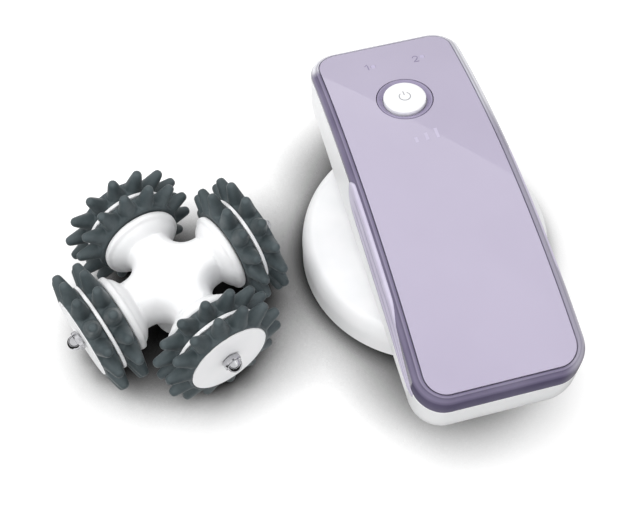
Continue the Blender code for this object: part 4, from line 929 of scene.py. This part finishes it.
def coloured(tree, factor, stops):
    """Colours along a value, from stops of place, red, green and blue."""
    return ramp(tree, factor, [(place, linear(*colour)) for place, *colour in stops])


def blotched(tree, shades, scale, detail):
    """Two near shades in soft blotches."""
    first, second = [linear(*shade) for shade in shades]
    return mixed(tree, spread(tree, noise(tree, scale, detail), 0, 1), first, second)


def dress(tree, shader, colour, roughness, height, depth, strength=1.0):
    bump = node(tree, "Bump", {"Height": height, "Distance": depth, "Strength": strength})
    tree.links.new(colour, shader.inputs["Base Color"])
    tree.links.new(roughness, shader.inputs["Roughness"])
    tree.links.new(bump.outputs["Normal"], shader.inputs["Normal"])


def moulded(name, shades, cloud, polish, roughness, grain, depth, strength=1.0, **inputs):
    """A surface with blotches, a roughness that varies and a fine grain. Cloud, polish and grain each
    give the scale and detail of a noise."""
    material, tree, shader = new_material(name, **inputs)
    rough = spread(tree, noise(tree, *polish), *roughness)
    dress(tree, shader, blotched(tree, shades, *cloud), rough, noise(tree, *grain), depth, strength)
    return material


def plastic(name, shades, roughness, blotch=70, grain=2600, depth=0.000001, **inputs):
    polish = (blotch * 3, 3.0)
    return moulded(name, shades, (blotch, 2.0), polish, roughness, (grain, 2.0), depth, **inputs)


def metal(name, shades, roughness=(0.18, 0.30), stretch=(1, 1, 14), grain=900, depth=0.000004):
    """Turned metal: fine lines run round it and the polish varies a little."""
    material, tree, shader = new_material(name, Metallic=1.0)
    lines = noise(tree, grain, 3.0, stretch)
    dress(tree, shader, blotched(tree, shades, 160, 3.0), spread(tree, lines, *roughness), lines, depth)
    return material


# Colours across the rim, from its outer edge to the panel, and down the band: place, red, green, blue.
# Their lines and their paler colours are painted light.
# The pale and dark lines across the near rim are painted highlights and painted shade.
NEAR_RIM_PAINTED_LINES = (
    (0.00, 92, 86, 110), (0.20, 112, 105, 130), (0.40, 96, 89, 114), (0.52, 76, 69, 94),
    (0.62, 132, 125, 148), (0.74, 112, 104, 130), (0.84, 96, 89, 114), (1.00, 104, 97, 122),
)
# The paler rim on the right and far sides is a painted reflection.
FAR_RIM_PAINTED_SHEEN = (
    (0.00, 150, 147, 158), (0.25, 168, 165, 177), (0.50, 142, 138, 153),
    (0.62, 162, 158, 173), (0.86, 148, 143, 160), (1.00, 158, 153, 171),
)
# The brightest painted highlight, towards the far end on those sides.
FAR_END_PAINTED_HIGHLIGHT = (
    (0.00, 160, 160, 166), (0.14, 172, 171, 178), (0.30, 226, 226, 230), (0.46, 222, 222, 228),
    (0.62, 172, 170, 178), (0.84, 204, 203, 212), (1.00, 176, 173, 186),
)
# The near band: darker at its top, lighter towards its bottom.
NEAR_BAND = (
    (0.00, 82, 75, 100), (0.16, 84, 78, 103), (0.45, 92, 87, 110), (0.80, 104, 99, 120),
    (1.00, 112, 107, 127),
)
# The far band's paler colour is a painted reflection.
FAR_BAND_PAINTED_SHEEN = linear(170, 168, 178)
RIM_HAZE = linear(170, 164, 184)


def tinted_rim():
    """Smoky lilac moulding with painted light: painted highlight and shade lines along the rim and the
    band, and a paler painted reflection on the sides that face from the near left corner.
    """
    material, tree, shader = new_material(
        "tinted_rim", Coat_Weight=0.1, Coat_Roughness=0.04, Specular_IOR_Level=0.3
    )
    across, sheen_side = stored(tree, "across"), stored(tree, "sheen_side")
    near, far, clear = [coloured(tree, across, stops) for stops in (NEAR_RIM_PAINTED_LINES, FAR_RIM_PAINTED_SHEEN, FAR_END_PAINTED_HIGHLIGHT)]
    # The sides that face from the near left corner get the painted reflection, with its brightest
    # painted highlight towards the far end.
    rim = mixed(tree, sheen_side, near, mixed(tree, stored(tree, "clear"), far, clear))
    band = mixed(tree, sheen_side, coloured(tree, stored(tree, "down"), NEAR_BAND), FAR_BAND_PAINTED_SHEEN)
    base = mixed(tree, spread(tree, across, 0, 1, 0, 0.02), band, rim)
    colour = mixed(tree, spread(tree, noise(tree, 60, 2.0), 0, 0.10), base, RIM_HAZE)
    rough = spread(tree, noise(tree, 180), 0.10, 0.17)
    dress(tree, shader, colour, rough, noise(tree, 1400, 2.0), 0.000004)
    return material


def soft_grip():
    """Satin lavender, with painted shade in its grooves and along its lower edge."""
    material, tree, shader = new_material("lavender_grip", IOR=1.45)
    unshaded = blotched(tree, ((198, 191, 213), (204, 198, 218)), 90, 2.0)
    # The darker lavender is painted shade, laid on by the groove layer.
    colour = mixed(tree, stored(tree, "groove"), unshaded, linear(146, 139, 162))
    rough = spread(tree, noise(tree, 270), 0.40, 0.50)
    dress(tree, shader, colour, rough, noise(tree, 3600, 2.0), 0.000004)
    return material


def circuit_green():
    """Solder mask with paler tracks under it."""
    material, tree, shader = new_material("board_mask", Coat_Weight=0.4)
    place = node(tree, "TexCoord").outputs["Object"]
    tracks = node(tree, "TexBrick", {
        "Vector": place, "Scale": 260.0, "Mortar Size": 0.03,
        "Color1": linear(20, 92, 52), "Color2": linear(16, 84, 48), "Mortar": linear(60, 132, 84),
    })
    rough = spread(tree, noise(tree, 400), 0.30, 0.42)
    dress(tree, shader, tracks.outputs["Color"], rough, tracks.outputs["Fac"], 0.00003)
    return material


# The looks of the slots
MATERIALS = {
    "white_gloss": plastic("white_moulding", ((236, 237, 238), (241, 241, 242)), (0.30, 0.34)),
    "smoky_lilac": tinted_rim(),
    "lavender_gloss": plastic(
        "lavender_lacquer", ((167, 159, 182), (170, 162, 185)), (0.30, 0.36), 28, 1800, 0.0000003,
        Coat_Weight=1.0, Coat_Roughness=0.02, Coat_IOR=1.5,
    ),
    "lavender_grip": soft_grip(),
    "slate_rubber": moulded(
        "slate_rubber", ((56, 66, 69), (71, 81, 84)), (160, 4.0), (500, 3.0), (0.44, 0.58),
        (4200, 3.0), 0.000025, 0.6, Sheen_Weight=0.10, Sheen_Roughness=0.5, IOR=1.45,
    ),
    "steel": metal("turned_steel", ((190, 190, 192), (206, 206, 208))),
    "chrome": metal(
        "bright_chrome", ((188, 188, 191), (200, 200, 203)), (0.06, 0.12), (1, 1, 1), 500, 0.0000005
    ),
    "brass": metal("plain_brass", ((198, 164, 92), (212, 180, 108))),
    "gear_plastic": plastic("natural_acetal", ((226, 224, 216), (233, 231, 224)), (0.42, 0.52)),
    "circuit_board": circuit_green(),
    "black_plastic": plastic(
        "black_moulding", ((36, 36, 38), (46, 46, 48)), (0.40, 0.52), depth=0.00002
    ),
    "battery_jacket": plastic(
        "battery_jacket", ((96, 88, 116), (110, 102, 130)), (0.28, 0.38), Metallic=0.35
    ),
    "clear_lens": moulded(
        "pale_lens", ((186, 177, 206), (192, 184, 212)), (300, 3.0), (900, 3.0), (0.12, 0.22),
        (3000, 3.0), 0.000005, Transmission_Weight=0.1, Coat_Weight=0.5, IOR=1.49,
    ),
}

# The looks of pieces that differ from the rest of their slot
OWN_LOOKS = {
    "dished_bezel": plastic(
        "bezel_lilac", ((140, 131, 160), (150, 141, 170)), (0.12, 0.20),
        Coat_Weight=0.6, Coat_Roughness=0.04,
    ),
    "power_mark": plastic("grey_print", ((140, 140, 146), (152, 152, 158)), (0.45, 0.55)),
    "numerals": plastic("violet_print", ((120, 111, 140), (128, 119, 148)), (0.40, 0.50)),
    "level_bars": plastic("pale_print", ((184, 177, 199), (190, 183, 205)), (0.35, 0.45)),
}

# The slots of CAD nodes that stay. The other ones are steel.
NODE_SLOTS = {
    "white_gloss": ("base_plate", "motor_bracket", "drive_socket"),
    "clear_lens": ("light_pipe",),
    "circuit_board": ("control_board",),
    "black_plastic": ("tact_switch", "switch_plunger", "battery_tray", "charging_jack"),
    "brass": (
        "battery_contact_near", "battery_contact_far", "upper_bush", "lower_bush", "motor_pinion",
    ),
    "gear_plastic": ("drive_gear",),
    "battery_jacket": ("battery_cell_1", "battery_cell_2", "battery_cell_3"),
}


# Pieces


def add_piece(name, mesh, slot, node_name, place=None, stands_for=True):
    """A fine piece that rides with a CAD node's body and stands for the node, unless it is a print."""
    if place:
        mesh = mesh.copy()
        mesh.transform(place)
    mesh.name = name
    mesh.materials.clear()
    mesh.materials.append(OWN_LOOKS.get(name) or MATERIALS[slot])
    piece = add_object(name, mesh)
    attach(piece, BODY_OF[node_name])
    if stands_for:
        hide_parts(node_name)


def dress_handle():
    add_piece("casing_shell", make_casing(), "white_gloss", "lower_casing")
    add_piece("tinted_cover", make_cover(), "smoky_lilac", "top_cover")
    add_piece("lavender_panel", make_panel(), "lavender_gloss", "control_panel")
    for hand, side in (("left", -1), ("right", 1)):
        add_piece("grip_strip_" + hand, make_grip(side), "lavender_grip", "grip_" + hand)
    add_piece("dished_bezel", make_bezel(), "smoky_lilac", "button_bezel")
    add_piece("button_cap", make_button(), "white_gloss", "power_button")
    add_piece("power_mark", make_power_mark(), "white_gloss", "power_button", stands_for=False)
    add_piece("numerals", make_numerals(), "lavender_gloss", "control_panel", stands_for=False)
    add_piece("level_bars", make_level_bars(), "lavender_gloss", "control_panel", stands_for=False)
    add_piece("round_housing", make_housing(), "white_gloss", "drive_housing")


def dress_head():
    add_piece("star_hub", make_hub(), "white_gloss", "head_hub", HEAD_PLACE)
    shared = {
        "inner_ring": (make_ring(INNER_RING_START, False), "slate_rubber"),
        "outer_ring": (make_ring(OUTER_RING_START, True), "slate_rubber"),
        "roller_core": (make_core(), "white_gloss"),
        "roller_cap": (make_cap(), "white_gloss"),
        "acorn_nut": (make_nut(), "chrome"),
    }
    for quarter in range(4):
        place = HEAD_PLACE @ outward_place(quarter * pi / 2)
        for kind, (mesh, slot) in shared.items():
            add_piece(f"fine_{kind}_{quarter + 1}", mesh, slot, f"{kind}_{quarter + 1}", place)


def dress_cad_nodes():
    slots = {name: slot for slot, names in NODE_SLOTS.items() for name in names}
    for name, obj in frame["nodes"].items():
        obj.data.materials.clear()
        obj.data.materials.append(MATERIALS[slots.get(name, "steel")])


# Studio

# How bright the floor is painted by how open it is within 10, 35 and 88 mm, as (openness, grey): a
# painted shadow on top of the lamps' own. The widest one leans, so that the painted shadow falls more
# to one side. The widest one leans, so that the shadow falls to the photo's side.
CONTACT_SHADE = ((0.30, 0.15), (0.60, 0.50), (0.95, 1))
CLOSE_SHADE = ((0.10, 0), (0.50, 0.40), (0.75, 0.74), (1.0, 1))
BROAD_SHADE = ((0.12, 0.02), (0.42, 0.44), (0.60, 0.80), (0.74, 1))
FLOOR_GLOW = 0.66
FLOOR_DIM = 0.45
FLOOR_GREY = (0.62, 0.62, 0.62, 1)
WHITE = (1, 1, 1, 1)

# What reflections see of the room by how high they look: pale, a dark band, then white
ROOM_DARK = (0.16, 0.16, 0.17, 1)
ROOM = ((0.00, 0.8), (0.04, 0.8), (0.07, ROOM_DARK), (0.24, ROOM_DARK), (0.34, 1))
ROOM_FILL = 0.62

# The card whose edge crosses the panel's gloss: two places on the panel on that edge, and the lit side
CARD_FIRST = Vector((-0.0284, 0.0617))
CARD_LAST = Vector((0.0265, -0.0076))
CARD_SPAN = Vector((-0.784, -0.621)) * 0.13
CARD_HEIGHT = 0.9
CARD_FADE = ((0.0, 1), (0.15, 0.86), (0.6, 0.58))
CARD_GLOW = 2.1

# The dark flag low in front and to the left, seen only in reflections, which gives the nuts a painted
# dark reflection on their lower side
FLAG_CORNERS = (
    (-0.60, -0.80), (0.40, -0.80), (0.40, -0.075), (-0.03, -0.062), (-0.170, -0.062), (-0.172, 0.10),
    (-0.60, 0.10),
)
FLAG_HEIGHT = 0.0006
FLAG_GREY = 0.03

# Softboxes: name, place, target, size, power
LAMPS = (
    ("overhead", (-0.25, 0.14, 0.95), (-0.04, 0.0, 0.0), (0.9, 0.7), 5.35),
    ("left_fill", (-0.95, -0.15, 0.55), (-0.05, 0.0, 0.02), (0.6, 0.6), 2.5),
    ("front_fill", (0.10, -1.00, 0.30), (-0.02, 0.0, 0.02), (0.8, 0.4), 2.9),
)

# The camera, fitted to edges of the object in the photo
CAMERA_PLACE = Vector((-0.09959, -0.21523, 0.39633))
CAMERA_TURN = (0.52307, 0.01598, -0.25105)
CAMERA_LENS = 60.41
CAMERA_SENSOR = 36


def blank_tree(owner):
    owner.use_nodes = True
    owner.node_tree.nodes.clear()
    return owner.node_tree


def seen_ray(tree):
    """1 for camera, glossy and transmission rays."""
    light = node(tree, "LightPath")
    total = light.outputs["Is Camera Ray"]
    for name in ("Is Glossy Ray", "Is Transmission Ray"):
        links = {0: total, 1: light.outputs[name]}
        total = node(tree, "Math", links, operation="ADD", use_clamp=True).outputs[0]
    return total


def show(tree, output_kind, lighting, seen):
    """Lets the rays that are seen meet one shader, and the rays that only light the object another."""
    links = {0: seen_ray(tree), 1: lighting.outputs[0], 2: seen.outputs[0]}
    node(tree, output_kind, {"Surface": node(tree, "MixShader", links).outputs[0]})


def floor_look():
    """Pale floor. The camera and reflections see it lifted to white, apart from a painted soft shadow.
    """
    material = bpy.data.materials.new("studio_floor")
    tree = blank_tree(material)
    place = node(tree, "NewGeometry").outputs["Position"]
    along = node(tree, "SeparateXYZ", {"Vector": place}).outputs["X"]
    lean_x = spread(tree, along, -0.20, 0.34, -0.14, -0.03)
    lean = node(tree, "CombineXYZ", {"X": lean_x, "Y": -0.12, "Z": 0.95}).outputs["Vector"]
    shade = WHITE
    for samples, links, stops in (
        (12, {"Distance": 0.010}, CONTACT_SHADE),
        (16, {"Distance": 0.035}, CLOSE_SHADE),
        (16, {"Distance": 0.088, "Normal": lean}, BROAD_SHADE),
    ):
        # Painted shadow: the less open the floor is, the darker it is painted.
        openness = node(tree, "AmbientOcclusion", links, samples=samples).outputs["AO"]
        shade = mixed(tree, 1.0, shade, ramp(tree, openness, stops), blend_type="MULTIPLY")
    glow = node(tree, "Emission", {"Color": shade, "Strength": FLOOR_GLOW})
    lit = node(tree, "BsdfDiffuse", {"Color": mixed(tree, FLOOR_DIM, shade, (0, 0, 0, 1))})
    seen = node(tree, "AddShader", {0: glow.outputs[0], 1: lit.outputs[0]})
    plain = node(tree, "BsdfDiffuse", {"Color": FLOOR_GREY})
    show(tree, "OutputMaterial", plain, seen)
    return material


def add_floor():
    bm = bmesh.new()
    bm.faces.new([bm.verts.new((x, y, 0)) for x, y in ((-4, -4), (4, -4), (4, 4), (-4, 4))])
    floor = add_object("floor", mesh_from(bm))
    floor.data.materials.append(floor_look())


def make_world():
    world = bpy.data.worlds.new("studio")
    tree = blank_tree(world)
    place = node(tree, "TexCoord").outputs["Generated"]
    rise = node(tree, "SeparateXYZ", {"Vector": place}).outputs["Z"]
    straight = node(tree, "LightPath").outputs["Is Camera Ray"]
    room = mixed(tree, straight, ramp(tree, rise, ROOM), WHITE)
    seen = node(tree, "Background", {"Color": room, "Strength": 1.0})
    fill = node(tree, "Background", {"Color": WHITE, "Strength": ROOM_FILL})
    show(tree, "OutputWorld", fill, seen)
    bpy.context.scene.world = world


def add_reflected_sheet(name, bm, stops, strength):
    """A sheet that only reflections see. Its grey follows the fade that its points store."""
    material = bpy.data.materials.new(name)
    tree = blank_tree(material)
    colour = ramp(tree, stored(tree, "fade"), stops)
    glow = node(tree, "Emission", {"Color": colour, "Strength": strength})
    node(tree, "OutputMaterial", {"Surface": glow.outputs[0]})
    sheet = add_object(name, mesh_from(bm))
    sheet.data.materials.append(material)
    for kind in ("camera", "diffuse", "transmission", "volume_scatter", "shadow"):
        setattr(sheet, "visible_" + kind, False)


def mirrored_spot(x, y):
    """Where the camera's ray to a place on the panel, mirrored there, reaches the card's height."""
    place = Vector((x, y, arch(y)))
    ray = (place - CAMERA_PLACE).normalized().reflect(arch_normal(y))
    return place + ray * ((CARD_HEIGHT - place.z) / ray.z)


def add_gloss_card():
    """A bright card overhead whose edge shows as the slanting line in the panel's gloss."""
    bm = bmesh.new()
    fade = bm.verts.layers.float.new("fade")
    rows = []
    for step in range(25):
        edge = CARD_FIRST.lerp(CARD_LAST, step / 8 - 0.5)
        row = []
        for share in (0.0, 0.5, 1.0):
            row.append(bm.verts.new(mirrored_spot(*(edge + CARD_SPAN * share))))
            row[-1][fade] = share
        rows.append(row)
    for here, after in zip(rows, rows[1:]):
        for step in range(2):
            bm.faces.new((here[step], here[step + 1], after[step + 1], after[step]))
    add_reflected_sheet("gloss_card", bm, CARD_FADE, CARD_GLOW)


# A dark sheet that only reflections see: a painted dark reflection for the nuts' lower side.
def add_dark_flag():
    bm = bmesh.new()
    bm.faces.new([bm.verts.new((x, y, FLAG_HEIGHT)) for x, y in FLAG_CORNERS])
    add_reflected_sheet("shade_reflection_flag", bm, ((0, FLAG_GREY), (1, FLAG_GREY)), 1.0)


def add_softbox(name, place, target, size, power):
    lamp = bpy.data.lights.new(name, "AREA")
    lamp.shape = "RECTANGLE"
    lamp.size, lamp.size_y = size
    lamp.energy = power
    softbox = add_object(name, lamp)
    softbox.location = place
    softbox.rotation_euler = (Vector(target) - softbox.location).to_track_quat("-Z", "Y").to_euler()
    softbox.visible_glossy = False


def add_camera():
    camera = add_object("camera", bpy.data.cameras.new("camera"))
    camera.data.lens = CAMERA_LENS
    camera.data.sensor_width = CAMERA_SENSOR
    camera.location = CAMERA_PLACE
    camera.rotation_euler = CAMERA_TURN
    bpy.context.scene.camera = camera


dress_cad_nodes()
dress_handle()
dress_head()
add_floor()
add_gloss_card()
add_dark_flag()
make_world()
for lamp in LAMPS:
    add_softbox(*lamp)
add_camera()
bpy.context.scene.view_settings.view_transform = "Standard"
